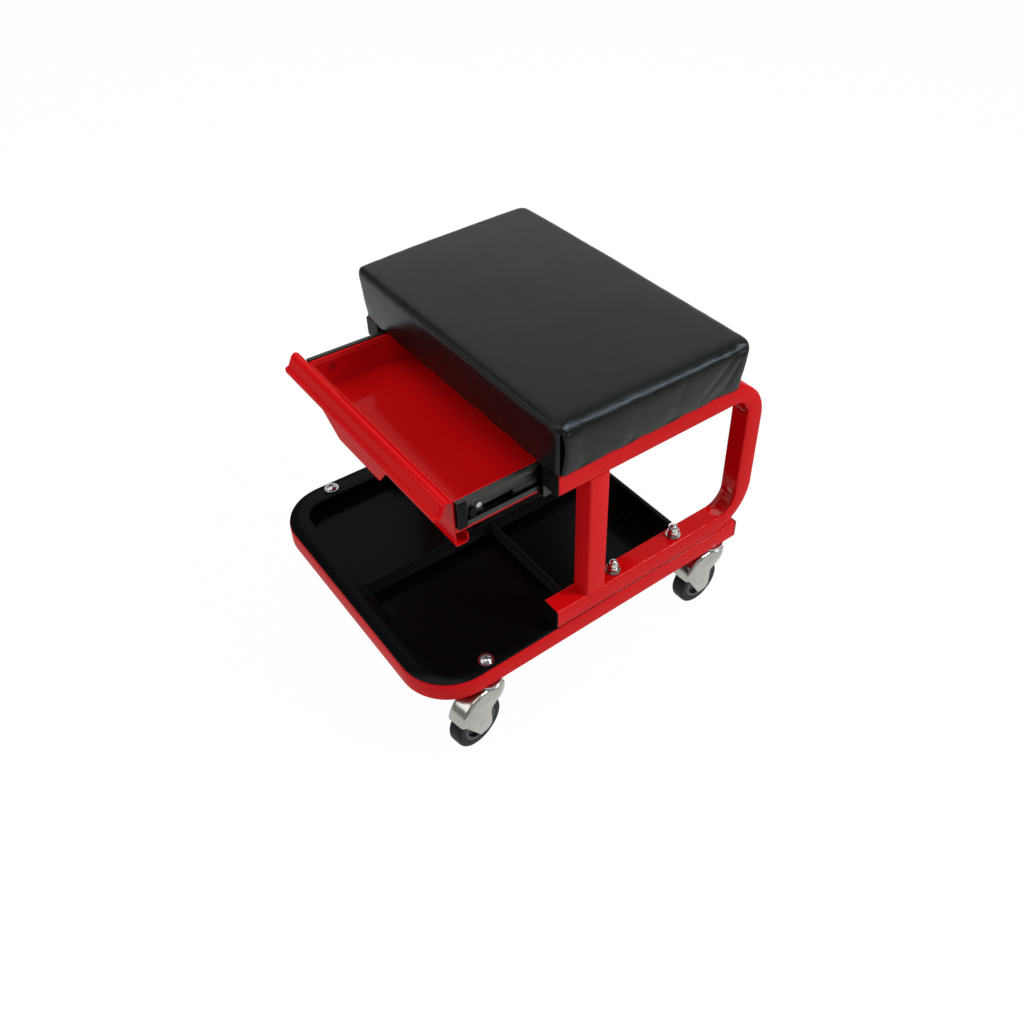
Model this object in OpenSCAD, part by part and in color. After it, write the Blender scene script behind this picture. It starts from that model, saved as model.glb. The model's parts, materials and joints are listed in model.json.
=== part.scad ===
// Rolling workshop seat: a padded seat on two bent side frames, a divided parts tray on
// a U-shaped base rail with four swivel casters, and a shallow drawer on ball slides.
// Every piece is drawn with y counted back from the front face of the base rail and z
// counted up from the rail's underside. The module placed() then moves it to the part's
// own frame, whose origin lies on the floor under the middle of the seat.

/* [Frame tubes] */
// Side of the square tube
tube_w = 25.4; // [24:0.1:27]
// Wall of the square tube
tube_wall = 1.5; // [1:0.1:2]
// Overall width over the base rail and the side frames
span_w = 378; // [360:1:400]
// Outer radius of every tube bend
bend_r = 61; // [52:1:64]
// Inner radius of every tube bend, where the inner wall is pressed in
bend_inner_r = 25; // [18:1:28]

/* [Base rail] */
// Length of the base rail from its front face to its open ends
rail_l = 448.5; // [440:0.5:460]
// Distance of the front caster stems from the rail's front face
stem_front = 76; // [74:0.5:88]
// Distance of the rear caster stems from the rail's open ends
stem_back = 29.5; // [26:0.5:34]

/* [Side frames] */
// Reach of the side frames' rear faces past the rail's open ends
side_overhang = 16.5; // [10:0.5:22]
// Length of a side frame from its front ends to its rear face
side_l = 300.5; // [292:0.5:312]
// Height of a side frame over both runs
side_h = 222.5; // [200:0.5:240]
// Distance of the post's front face from the front ends of the side frame
post_back = 41.5; // [36:0.5:50]
// Distance of the first flange bolt from the front ends of the side frame
bolt_back = 89.5; // [84:0.5:100]
// Distance between the two flange bolts of one side
bolt_pitch = 95; // [60:1:110]
// Thickness of the flange on each tube plug
cap_t = 1.5; // [1:0.1:2]
// Length of the tube plug inside the tube
cap_l = 8; // [5:0.5:9]

/* [Parts tray] */
// Thickness of the tray sheet
tray_t = 1.5; // [1:0.1:2]
// Depth of the pocket from the top of the flange to the floor
tray_depth = 19; // [12:0.5:22]
// Distance of the tray's rear wall in front of the rail's open ends
tray_back = 92; // [86:0.5:98]
// Rise of the tray's rear wall above the flange
tray_back_h = 26.5; // [15:0.5:35]
// Width of the lip on the rear wall
tray_lip = 4.5; // [3:0.5:8]
// Distance of the tray's side flanges in front of the rail's open ends
flange_back = 60.5; // [54:0.5:74]
// Thickness of the tray dividers
divider_t = 2.5; // [1.5:0.1:3]
// Distance from the rail's front face to the cross dividers
cross_y = 203.5; // [120:0.5:260]

/* [Seat] */
// Length of the cushion at its underside
cushion_l = 250; // [245:1:262]
// Height of the cushion's sides
cushion_h = 62; // [50:1:75]
// Rise of the crown above the cushion's top edges
crown_h = 4.5; // [2:0.5:10]
// Bulge of the cushion's left and right sides past the underside
bulge_side = 8; // [3:0.5:12]
// Bulge of the cushion's front past the underside
bulge_front = 4; // [2:0.5:8]
// Bulge of the cushion's rear past the underside
bulge_back = 10; // [3:0.5:12]
// Radius of the cushion's upright corners
cushion_corner_r = 15; // [10:1:25]
// Depth of the fold in each upright corner
pleat_d = 2.5; // [1:0.5:4]
// Thickness of the seat board
board_t = 12; // [9:0.5:15]
// Distance from the cushion's edge to the seat board
board_inset = 5; // [4:0.5:8]

/* [Drawer] */
// Length of the drawer box and of its slide members
drawer_l = 250; // [225:1:260]
// Height of the drawer's walls
drawer_h = 43; // [32:1:46]
// Thickness of the drawer's sheet
sheet_t = 1.2; // [0.8:0.1:1.6]
// How far the drawer stands open as it is drawn
drawer_out = 95; // [60:1:110]
// Height of the front panel below the pull
panel_h = 54; // [44:1:58]
// Overhang of the front panel past the drawer's left wall
panel_left = 20; // [15:1:34]
// Overhang of the front panel past the drawer's right wall
panel_right = 2; // [1:0.5:6]
// Radius of the rounded ridge along the pull
ridge_r = 6; // [5:0.5:6.5]
// Length of the flat slope in front of the ridge
slope_l = 11.5; // [9:0.5:13]
// Radius of the bend at the foot of the slope
hollow_r = 2.5; // [2:0.5:4]
// Drop of the finger tab below the pull's lip
tab_h = 20.5; // [14:0.5:24]

/* [Slides] */
// Height of the cabinet member
slide_h = 42.4; // [38:0.2:44]
// Distance from the side frame to the drawer's wall
slide_w = 13.6; // [13:0.1:16]
// Thickness of the slide's sheet
slide_t = 1.2; // [1:0.1:1.4]
// Depth of the drawer member
member_d = 5.5; // [5:0.1:5.8]
// Gap between the two members where the balls run
ball_gap = 3; // [2.4:0.1:3.4]

/* [Casters] */
// Radius of the wheel
wheel_r = 31.75; // [29:0.25:33]
// Width of the tyre
wheel_w = 18.5; // [16:0.5:20]
// Distance from the rail's underside down to the axle
axle_drop = 52.5; // [51:0.5:60]
// Distance of the axle in front of the stem
trail = 22.5; // [20:0.5:24]
// Thickness of the fork's sheet
fork_t = 2.5; // [2:0.1:3]
// Radius of the axle
axle_r = 4; // [3:0.25:5]
// Radius of the caster's stem
stem_r = 6; // [5.5:0.1:7]
// Angle to which the front right caster has turned, in degrees
turn_fr = 10.5; // [-20:0.5:20]
// Angle to which the rear right caster has turned, in degrees
turn_rr = 2; // [-20:0.5:20]

/* [Hidden] */

// Overrun of every cut past the face it leaves
cut = 2;
// Radial clearance of a turning shaft or a screw in its thread
run_fit = 0.05;
// Radial clearance of a bolt in a plain hole
hole_fit = 0.3;
// Gap that keeps soft and sliding pieces clear of each other
soft_gap = 0.3;
// Facets of the round solids and of the arcs in outlines
$fn = 48;
arc_steps = 8;

// Places in the frame
half_w = span_w / 2;
inner_x = half_w - tube_w;
tube_x = half_w - tube_w / 2;
flange_z = tube_w + tray_t;
low_top_z = flange_z + tube_w;
side_top_z = flange_z + side_h;
high_low_z = side_top_z - tube_w;
side_back_y = rail_l + side_overhang;
side_y = side_back_y - side_l;
post_y = side_y + post_back;
bolt_ys = [side_y + bolt_back, side_y + bolt_back + bolt_pitch];
stem_ys = [stem_front, rail_l - stem_back];

// Bolts, nuts, screws and washers
bolt_r = 4;
bolt_head_r = 7.5;
bolt_head_h = 5;
washer_t = 1.6;
washer_r = 9;
nut_r = 7.5;
nut_h = 7;
dome_r = 6;
dome_z = 9;
screw_head_r = 6.5;
screw_head_h = 4.2;
screw_dome_r = 9.5;
socket_r = 2.9;
socket_d = 2.4;
screw_l = 18;
jam_nut_r = 9.8;
jam_nut_h = 6;
seat_screw_r = 2.2;
seat_head_r = 4.5;
seat_head_h = 2.5;
seat_screw_bite = 9;
slide_screw_r = 2;
slide_head_r = 3.6;
slide_head_h = 1.3;
slide_screw_l = 6;
drawer_screw_r = 2;
drawer_head_r = 3.6;
drawer_head_h = 1.4;
rivet_r = 3;
rivet_h = 0.9;
seat_screw_front = 20;
seat_screw_back = 85;
weld_leg = 2.5;
weld_inset = 1.5;

// Tube plugs and tray details
cap_fit = 0.1;
tray_fit = 0.8;
flange_inset = 0.7;
tray_back_gap = 4;
divider_rise = 1;
divider_gap = 0.2;
floor_z = flange_z - tray_depth;
tray_l = rail_l - tray_back;
flange_l = rail_l - flange_back;
pocket_x = inner_x - tray_fit - tray_t;
pocket_y = tube_w + tray_fit + tray_t;
pocket_corner_r = bend_inner_r + tray_fit;
back_wall_x = inner_x - tray_back_gap;

// Cushion and seat board
cushion_y = side_y;
cushion_z = side_top_z + soft_gap;
corner_steps = 4;
side_steps = 9;
ring_n = 4 * (corner_steps + 1 + side_steps);
// Height shares of the rings up the cushion's side, and how much of the bulge each has
height_shares = [0, 0.05, 0.18, 0.4, 0.65, 0.82, 0.93, 1];
bulge_shares = [0, 0.3, 0.6, 0.86, 1, 0.94, 0.6, -0.2];
// Size shares of the rings over the crown
crown_shares = [0.97, 0.9, 0.75, 0.5, 0.25];
// Bow of the cushion's sides in plan, at the fullest height
plan_bow = 1.5;

// Drawer and slides
slide_l = drawer_l;
closed_gap = 0.8;
panel_y = side_y - cap_t - closed_gap - sheet_t - drawer_out;
drawer_x = inner_x - slide_w;
drawer_y = panel_y + sheet_t;
slide_drop = 1.2;
slide_top_z = side_top_z - slide_drop;
slide_low_z = slide_top_z - slide_h;
member_top_z = slide_top_z - slide_t - ball_gap;
member_low_z = slide_low_z + slide_t + ball_gap;
member_mid_z = (member_top_z + member_low_z) / 2;
member_y = drawer_y + soft_gap;
member_lip_top = 6;
member_lip_low = 6.5;
wall_top_z = member_top_z - sheet_t;
box_z = wall_top_z - drawer_h;
hem_h = 7;
hem_gap = 1.6;
slot_y = 35;
slot_l = 30;
slot_r = 3.5;
slot_drop = 6.5;
drawer_screw_front = 27;
drawer_screw_back = 34;
drawer_screw_ys = [drawer_y + drawer_screw_front, drawer_y + drawer_l - drawer_screw_back];
slide_screw_front = 26;
slide_screw_back = 36;
slide_screw_ys = [side_y + slide_screw_front, side_y + slide_l - slide_screw_back];
slide_screw_z = side_top_z - tube_w / 2;
cabinet_gap = 2;
cabinet_x = drawer_x + cabinet_gap;
ball_clear = 0.1;
ball_r = ball_gap / 2 - ball_clear;
ball_inset = 4;
ball_x = drawer_x + ball_inset;
ball_pitch = 11;
ball_n = 5;
cage_t = 0.6;
cage_l = ball_n * ball_pitch;
cage_x = drawer_x + member_d + ball_gap / 2;
cage_y = (side_y + member_y + slide_l) / 2 - cage_l / 2;
bumper_l = 10;
bumper_d = 6;
lever_back = 19;
lever_rise = 7;
lever_y = member_y + lever_back;
lever_z = member_low_z + lever_rise;
lever_w = 8;
lever_h = 15;
lever_t = 2.4;
lever_pin_r = 1.5;
pin_out = 3;

// Front panel, pull and finger tab
panel_drop = 1.6;
panel_top_z = wall_top_z - panel_drop;
panel_low_z = panel_top_z - panel_h;
return_d = 13;
return_h = 10;
pull_corner_r = 3;
ridge_end = 153;
lip_r = 1.5;
lip_h = 2.4;
tab_corner_r = 5;
// Places of the tab's upper and lower corners, as shares of the panel's width
tab_top_shares = [0.292, 0.705];
tab_low_shares = [0.394, 0.671];

// Casters
cup_r = 16.5;
cup_h = 4;
cup_round = 3;
fork_gap = 0.3;
fork_in = 10.7;
fork_out = fork_in + fork_t;
kingpin_r = 9;
kingpin_h = 2.5;
kingpin_gap = 0.3;
drum_r = 17.5;
drum_h = 13;
hood_r = 34.5;
hood_back = 5.5;
hood_end = 170;
crown_back = 13;
shoulder_r = 16;
shoulder_drop = 11;
shoulder_end = -75;
waist_rise = 15;
leg_back = 13.9;
leg_front = 3.5;
leg_low = 14.2;
leg_back_r = 7;
leg_front_r = 4;
crown_z = -cup_h - fork_gap;
axle_end_r = 5;
axle_end_h = 0.8;
core_r = 22;
hub_r = 8.5;
hub_gap = 0.25;
web_w = 8;
rim_t = 3.5;
tyre_round = 3.5;
stem_bore_d = 14;
rear_stem_l = 11;

// Points of an arc about a centre, from one angle to another
function arc(centre, r, from, to) =
    [for (i = [0:arc_steps]) let (a = from + (to - from) * i / arc_steps) centre + r * [cos(a), sin(a)]];

// All points of a list but the first
function after_first(points) = [for (i = [1:len(points) - 1]) points[i]];

// Unit vector, and the vector a quarter turn to its left
function unit(v) = v / norm(v);
function left_of(v) = [-v.y, v.x];

// Point i of a path moved sideways by t, with a mitre at each corner
function mitred(path, i, t) =
    let (last = len(path) - 1,
         a = i > 0 ? unit(path[i] - path[i - 1]) : unit(path[1] - path[0]),
         b = i < last ? unit(path[i + 1] - path[i]) : a,
         m = unit(left_of(a) + left_of(b)))
    path[i] + m * t / (m * left_of(a));

// Outline of a sheet of thickness t on one side of a path
function sheet(path, t) = concat(path, [for (i = [len(path) - 1:-1:0]) mitred(path, i, t)]);

// Arc that rounds the corner b of the outline a, b, c
function rounded(a, b, c, r) =
    let (u = unit(a - b), v = unit(c - b), half = acos(u * v) / 2,
         centre = b + unit(u + v) * r / sin(half),
         p = b + u * r / tan(half) - centre, q = b + v * r / tan(half) - centre,
         from = atan2(p.y, p.x), turn = atan2(p.x * q.y - p.y * q.x, p * q))
    [for (i = [0:arc_steps]) centre + r * [cos(from + turn * i / arc_steps), sin(from + turn * i / arc_steps)]];

// Moves a piece from the drawing's places to the part's frame
module placed() {
    translate([0, -side_back_y / 2, wheel_r + axle_drop]) children();
}

// Repeats a piece as its mirror image on the left
module both_sides() {
    children();
    mirror([1, 0, 0]) children();
}

// Draws a right-hand piece on the left when s is -1
module on_side(s) {
    if (s < 0) mirror([1, 0, 0]) children();
    else children();
}

// Extrudes an outline drawn in y and z along x
module along_x(from, to) {
    translate([from, 0, 0]) rotate([90, 0, 90]) linear_extrude(to - from) children();
}

// Upright rod, and rod along x, each from one place to another
module rod_z(r, from, to) {
    translate([0, 0, from]) cylinder(h = to - from, r = r);
}

module rod_x(r, from, to) {
    translate([from, 0, 0]) rotate([0, 90, 0]) cylinder(h = to - from, r = r);
}

// Hexagonal prism with its corners at radius r
module hex_z(r, from, to) {
    translate([0, 0, from]) cylinder(h = to - from, r = r, $fn = 6);
}

// U-shaped outline of the rail, drawn in by a margin on every side but the open ends
module rail_outline(margin) {
    difference() {
        front_round(half_w - margin, margin, bend_r - margin, rail_l + cut);
        front_round(inner_x + margin, tube_w - margin, bend_inner_r + margin, rail_l + 2 * cut);
    }
}

// Rectangle from y0 to y1 with its two front corners rounded
module front_round(half, y0, r, y1) {
    translate([-half, y0 + r]) square([2 * half, y1 - y0 - r]);
    translate([r - half, y0]) square([2 * (half - r), r + cut]);
    for (s = [-1, 1]) translate([s * (half - r), y0 + r]) circle(r);
}

module base_rail() {
    color("firebrick") placed() difference() {
        linear_extrude(tube_w) rail_outline(0);
        translate([0, 0, tube_wall]) linear_extrude(tube_w - 2 * tube_wall) rail_outline(tube_wall);
        translate([-half_w - cut, rail_l, -cut]) cube([span_w + 2 * cut, 2 * cut, tube_w + 2 * cut]);
        both_sides() {
            for (y = bolt_ys) translate([tube_x, y, 0]) rod_z(bolt_r + hole_fit, -cut, tube_w + cut);
            for (y = stem_ys) translate([tube_x, y, 0]) rod_z(stem_r + hole_fit, -cut, tube_w / 2);
            translate([tube_x, stem_front, 0]) rod_z(bolt_r + hole_fit, tube_w / 2, tube_w + cut);
        }
    }
}

// Side frame's outline in y and z, drawn in by a margin
module side_outline(margin) {
    difference() {
        back_round(side_y, side_back_y - margin, flange_z + margin, side_top_z - margin, bend_r - margin);
        back_round(side_y - cut, side_back_y - tube_w + margin, low_top_z - margin, high_low_z + margin,
                   bend_inner_r + margin);
    }
}

// Rectangle with its two rear corners rounded
module back_round(y0, y1, z0, z1, r) {
    translate([y0, z0]) square([y1 - r - y0, z1 - z0]);
    translate([y1 - r - cut, z0 + r]) square([r + cut, z1 - z0 - 2 * r]);
    for (z = [z0 + r, z1 - r]) translate([y1 - r, z]) circle(r);
}

module side_frame(s) {
    color("firebrick") placed() on_side(s) difference() {
        along_x(inner_x, half_w) side_outline(0);
        along_x(inner_x + tube_wall, half_w - tube_wall) side_outline(tube_wall);
        for (y = bolt_ys) translate([tube_x, y, 0]) rod_z(bolt_r + hole_fit, flange_z - cut, low_top_z + cut);
        for (y = seat_screw_ys()) translate([tube_x, y, 0])
            rod_z(seat_screw_r + hole_fit, high_low_z - cut, side_top_z + cut);
        for (y = slide_screw_ys) translate([0, y, slide_screw_z])
            rod_x(slide_screw_r + run_fit, inner_x - cut, tube_x);
    }
}

module post(s) {
    color("firebrick") placed() on_side(s) difference() {
        translate([inner_x, post_y, low_top_z]) cube([tube_w, tube_w, high_low_z - low_top_z]);
        translate([inner_x + tube_wall, post_y + tube_wall, low_top_z - cut])
            cube([tube_w - 2 * tube_wall, tube_w - 2 * tube_wall, side_h]);
    }
}

// Weld beads along the front and rear edges of both ends of each post
module post_welds() {
    color("firebrick") placed() both_sides() {
        for (end = [[low_top_z, 1], [high_low_z, -1]], face = [[post_y, -1], [post_y + tube_w, 1]])
            along_x(inner_x + weld_inset, half_w - weld_inset)
                polygon([[face[0], end[0]], [face[0] + face[1] * weld_leg, end[0]],
                         [face[0], end[0] + end[1] * weld_leg]]);
    }
}

// Plug for an open tube end: a flange over the end and a block inside, along y
module tube_cap(dir) {
    inside = tube_w - 2 * (tube_wall + cap_fit);
    translate([0, dir > 0 ? 0 : -cap_t, 0]) centred_square_block(tube_w, cap_t);
    translate([0, dir > 0 ? -cap_l : 0, 0]) centred_square_block(inside, cap_l);
}

// Block of square section, centred on x and z, that starts at y zero
module centred_square_block(w, l) {
    translate([-w / 2, 0, -w / 2]) cube([w, l, w]);
}

module base_caps() {
    color("black") placed() both_sides() translate([tube_x, rail_l, tube_w / 2]) tube_cap(1);
}

module run_caps() {
    color("black") placed() both_sides()
        for (z = [flange_z + tube_w / 2, side_top_z - tube_w / 2]) translate([tube_x, side_y, z]) tube_cap(-1);
}

// Tray: a flange on the rail, a pocket inside it and a tall rear wall with a lip
module tray() {
    wall = tray_t;
    color("black") placed() difference() {
        union() {
            translate([0, 0, tube_w]) linear_extrude(tray_t)
                front_round(half_w - flange_inset, flange_inset, bend_r - flange_inset, flange_l);
            translate([0, 0, floor_z - wall]) linear_extrude(tray_depth)
                front_round(pocket_x + wall, pocket_y - wall, pocket_corner_r + wall, tray_l + wall);
            translate([-back_wall_x, tray_l, floor_z])
                cube([2 * back_wall_x, wall, tray_depth + tray_back_h]);
            translate([-back_wall_x, tray_l, flange_z + tray_back_h - wall])
                cube([2 * back_wall_x, wall + tray_lip, wall]);
        }
        translate([0, 0, floor_z]) linear_extrude(tray_depth + cut)
            front_round(pocket_x, pocket_y, pocket_corner_r, tray_l);
        translate([-pocket_x, tray_l + wall, floor_z - cut])
            cube([2 * pocket_x, flange_l, tray_depth + 2 * cut]);
        both_sides() {
            for (y = concat(stem_front, bolt_ys)) translate([tube_x, y, 0])
                rod_z(bolt_r + hole_fit, tube_w - cut, flange_z + cut);
        }
    }
}

// Height of both kinds of divider above the tray's floor
divider_h = tray_depth + divider_rise;

module divider_long() {
    color("black") placed() translate([-divider_t / 2, pocket_y + divider_gap, floor_z])
        cube([divider_t, tray_l - pocket_y - 2 * divider_gap, divider_h]);
}

module cross_dividers() {
    color("black") placed() both_sides()
        translate([divider_t / 2, cross_y - divider_t / 2, floor_z])
            cube([pocket_x - divider_t / 2 - divider_gap, divider_t, divider_h]);
}

module flange_bolts() {
    color("silver") placed() both_sides() for (y = bolt_ys) translate([tube_x, y, 0]) {
        hex_z(bolt_head_r, -bolt_head_h, 0);
        rod_z(bolt_r, -bolt_head_h, low_top_z + washer_t + nut_h);
    }
}

module nut_washers() {
    color("silver") placed() both_sides() for (y = bolt_ys) translate([tube_x, y, 0])
        washer(low_top_z, bolt_r + hole_fit);
}

// Flat washer that lies on the height z
module washer(z, bore) {
    difference() {
        rod_z(washer_r, z, z + washer_t);
        rod_z(bore, z - cut, z + washer_t + cut);
    }
}

// Domed nuts over the flange bolts
module acorn_nuts() {
    base = low_top_z + washer_t;
    color("gainsboro") placed() both_sides() for (y = bolt_ys) translate([tube_x, y, 0]) difference() {
        union() {
            hex_z(nut_r, base, base + nut_h);
            rod_z(dome_r, base, base + dome_z);
            translate([0, 0, base + dome_z]) sphere(dome_r);
        }
        rod_z(bolt_r + run_fit, base - cut, base + nut_h + run_fit);
    }
}

// Button-head screws that hold the front casters through the tray and the rail
module front_screws() {
    top = flange_z + washer_t;
    color("silver") placed() both_sides() translate([tube_x, stem_front, 0]) difference() {
        union() {
            rod_z(bolt_r, top - screw_l, top);
            intersection() {
                translate([0, 0, top + screw_head_h - screw_dome_r]) sphere(screw_dome_r);
                rod_z(screw_head_r, top, top + screw_head_h);
            }
        }
        hex_z(socket_r, top + screw_head_h - socket_d, top + screw_head_h + cut);
    }
}

module front_washers() {
    color("silver") placed() both_sides() translate([tube_x, stem_front, 0])
        washer(flange_z, bolt_r + hole_fit);
}

// Nuts on the rear stems, inside the rail's open ends
module rear_nuts() {
    color("silver") placed() both_sides() translate([tube_x, rail_l - stem_back, 0]) difference() {
        hex_z(jam_nut_r, tube_wall, tube_wall + jam_nut_h);
        rod_z(stem_r + run_fit, 0, tube_w);
    }
}

function seat_screw_ys() = [side_y + seat_screw_front, side_back_y - seat_screw_back];

module seat_board() {
    color("burlywood") placed() difference() {
        board_block(0);
        both_sides() for (y = seat_screw_ys()) translate([tube_x, y, 0])
            rod_z(seat_screw_r + run_fit, side_top_z - cut, side_top_z + seat_screw_bite + soft_gap);
    }
}

// Block of the seat board, grown by a margin on its sides and its top
module board_block(margin) {
    x = half_w - board_inset + margin;
    y = cushion_y + board_inset - margin;
    translate([-x, y, side_top_z - (margin > 0 ? cut : 0)])
        cube([2 * x, cushion_l - 2 * (board_inset - margin), board_t + margin + (margin > 0 ? cut : 0)]);
}

module seat_screws() {
    color("silver") placed() both_sides() for (y = seat_screw_ys()) translate([tube_x, y, 0]) {
        rod_z(seat_screw_r, high_low_z - seat_head_h, side_top_z + seat_screw_bite);
        rod_z(seat_head_r, high_low_z - seat_head_h, high_low_z);
    }
}

// Points round one upright corner of the cushion, with its fold in the middle
function corner_points(k, hx, hy, r, fold) =
    let (s = [[1, -1], [1, 1], [-1, 1], [-1, -1]][k])
    [for (j = [0:corner_steps])
        let (a = 90 * (k - 1) + 90 * j / corner_steps, inward = j == corner_steps / 2 ? fold : 0)
        [s.x * (hx - r), s.y * (hy - r)] + (r - inward) * [cos(a), sin(a)]];

// Points along one side, bowed outwards, from corner k to the next
function side_points(k, hx, hy, r, bow) =
    let (from = corner_points(k, hx, hy, r, 0)[corner_steps],
         to = corner_points((k + 1) % 4, hx, hy, r, 0)[0],
         out = [cos(90 * k), sin(90 * k)])
    [for (j = [1:side_steps]) let (t = j / (side_steps + 1)) from + (to - from) * t + out * bow * 4 * t * (1 - t)];

// One closed ring of the cushion's skin at the height z
function ring(hx, hy, y, z, r, bow, fold) =
    [for (k = [0:3], p = concat(corner_points(k, hx, hy, r, fold), side_points(k, hx, hy, r, bow)))
        [p.x, y + p.y, z]];

// Ring at a height share up the side, with its share of the bulge
function side_ring(height, bulge) =
    let (grow = (bulge_front + bulge_back) / 2, shift = (bulge_back - bulge_front) / 2)
    ring(half_w + bulge_side * bulge, cushion_l / 2 + grow * bulge,
         cushion_y + cushion_l / 2 + shift * bulge, cushion_z + cushion_h * height,
         cushion_corner_r, plan_bow * max(bulge, 0), pleat_d * (1 - height) * max(bulge, 0));

// Ring over the crown, drawn in to a share of the top's size
function crown_ring(share) =
    let (edge = bulge_shares[len(bulge_shares) - 1], shift = (bulge_back - bulge_front) / 2 * edge)
    ring((half_w + bulge_side * edge) * share, (cushion_l / 2 + bulge_front * edge) * share,
         cushion_y + cushion_l / 2 + shift, cushion_z + cushion_h + crown_h * (1 - share * share),
         cushion_corner_r * share, 0, 0);

// Closed skin of the cushion: rings up the side, over the crown and two fans
module cushion_skin() {
    rings = concat([for (i = [0:len(height_shares) - 1]) side_ring(height_shares[i], bulge_shares[i])],
                   [for (share = crown_shares) crown_ring(share)]);
    n = len(rings);
    mid_y = cushion_y + cushion_l / 2;
    points = concat([for (r = rings, p = r) p],
                    [[0, mid_y, cushion_z], [0, mid_y, cushion_z + cushion_h + crown_h]]);
    bands = [for (i = [0:n - 2], j = [0:ring_n - 1])
        let (a = i * ring_n + j, b = i * ring_n + (j + 1) % ring_n) each
            [[a, a + ring_n, b], [b, a + ring_n, b + ring_n]]];
    bottom = [for (j = [0:ring_n - 1]) [n * ring_n, j, (j + 1) % ring_n]];
    top = [for (j = [0:ring_n - 1])
        [n * ring_n + 1, (n - 1) * ring_n + (j + 1) % ring_n, (n - 1) * ring_n + j]];
    polyhedron(points, concat(bands, bottom, top));
}

module cushion() {
    color("#1c1c1e") placed() difference() {
        cushion_skin();
        board_block(soft_gap);
    }
}

// Cabinet member: a channel that opens towards the drawer
module slide_cabinet(s) {
    color("#3a3a38") placed() on_side(s) difference() {
        translate([cabinet_x, side_y, slide_low_z]) cube([inner_x - cabinet_x, slide_l, slide_h]);
        translate([cabinet_x - cut, side_y - cut, slide_low_z + slide_t])
            cube([inner_x - cabinet_x + cut - slide_t, slide_l + 2 * cut, slide_h - 2 * slide_t]);
        for (y = slide_screw_ys) translate([0, y, slide_screw_z])
            rod_x(slide_screw_r + run_fit, cabinet_x, inner_x + cut);
    }
}

module slide_screws() {
    seat = inner_x - slide_t;
    color("silver") placed() both_sides() for (y = slide_screw_ys) translate([0, y, slide_screw_z]) {
        rod_x(slide_head_r, seat - slide_head_h, seat);
        rod_x(slide_screw_r, seat - slide_head_h, seat + slide_screw_l);
    }
}

// Drawer member: a channel with turned-in lips, a long slot and the lever's pin
module slide_drawer(s) {
    lip_x = drawer_x + member_d;
    color("#2c2c2a") placed() on_side(s) difference() {
        union() {
            translate([0, member_y, 0]) rotate([90, 0, 0]) mirror([0, 0, 1]) linear_extrude(slide_l)
                polygon(sheet([[lip_x, member_low_z + member_lip_low], [lip_x, member_low_z],
                               [drawer_x, member_low_z], [drawer_x, member_top_z],
                               [lip_x, member_top_z], [lip_x, member_top_z - member_lip_top]], -slide_t));
            translate([0, lever_y, lever_z]) rod_x(lever_pin_r, drawer_x, drawer_x + slide_t + pin_out);
        }
        translate([0, member_y + slot_y, member_mid_z - slot_drop]) {
            for (y = [0, slot_l]) translate([0, y, 0]) rod_x(slot_r, drawer_x - cut, drawer_x + slide_t + cut);
            translate([drawer_x - cut, 0, -slot_r]) cube([slide_t + 2 * cut, slot_l, 2 * slot_r]);
        }
        for (y = drawer_screw_ys) translate([0, y, member_mid_z])
            rod_x(drawer_screw_r + run_fit, drawer_x - cut, drawer_x + slide_t + cut);
    }
}

// Ball cage: a thin channel between the members, with a row of balls above and below
module ball_cage(s) {
    top = member_top_z + ball_gap / 2;
    low = member_low_z - ball_gap / 2;
    color("gold") placed() on_side(s) {
        difference() {
            translate([ball_x - ball_gap / 2 - cage_t, cage_y, low - cage_t / 2])
                cube([cage_x - ball_x + ball_gap / 2 + cage_t, cage_l, top - low + cage_t]);
            translate([drawer_x, cage_y - cut, low + cage_t / 2])
                cube([cage_x - drawer_x - cage_t, cage_l + 2 * cut, top - low - cage_t]);
            balls(low, top) rod_z(ball_r + ball_clear, -cage_t, cage_t);
        }
        balls(low, top) sphere(ball_r);
    }
}

// Puts a child at each place of the two rows of balls
module balls(low, top) {
    for (z = [low, top], i = [0:ball_n - 1])
        translate([ball_x, cage_y + ball_pitch * (i + 1 / 2), z]) children();
}

// Release lever: a rounded arm on the drawer member's pin
module slide_lever(s) {
    base = drawer_x + slide_t + run_fit;
    color("black") placed() on_side(s) translate([0, lever_y, lever_z]) difference() {
        union() {
            rod_x(lever_w / 2, base, base + lever_t);
            translate([0, 0, lever_h - lever_w]) rod_x(lever_w / 2, base, base + lever_t);
            translate([base, -lever_w / 2, 0]) cube([lever_t, lever_w, lever_h - lever_w]);
        }
        rod_x(lever_pin_r + run_fit, base - cut, base + lever_t + cut);
    }
}

// Bumper in the front end of the drawer member
module slide_bumper(s) {
    low = member_low_z + slide_t + run_fit;
    color("black") placed() on_side(s) difference() {
        translate([drawer_x + slide_t + run_fit, member_y, low])
            cube([member_d + soft_gap, bumper_l, member_top_z - slide_t - run_fit - low]);
        translate([drawer_x + member_d - slide_t - run_fit, member_y - cut, low - cut])
            cube([slide_t + 2 * run_fit, bumper_l + 2 * cut, member_lip_low - slide_t + cut]);
        translate([drawer_x + member_d - slide_t - run_fit, member_y - cut, member_top_z - member_lip_top - run_fit])
            cube([slide_t + 2 * run_fit, bumper_l + 2 * cut, member_lip_top + cut]);
    }
}

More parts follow.
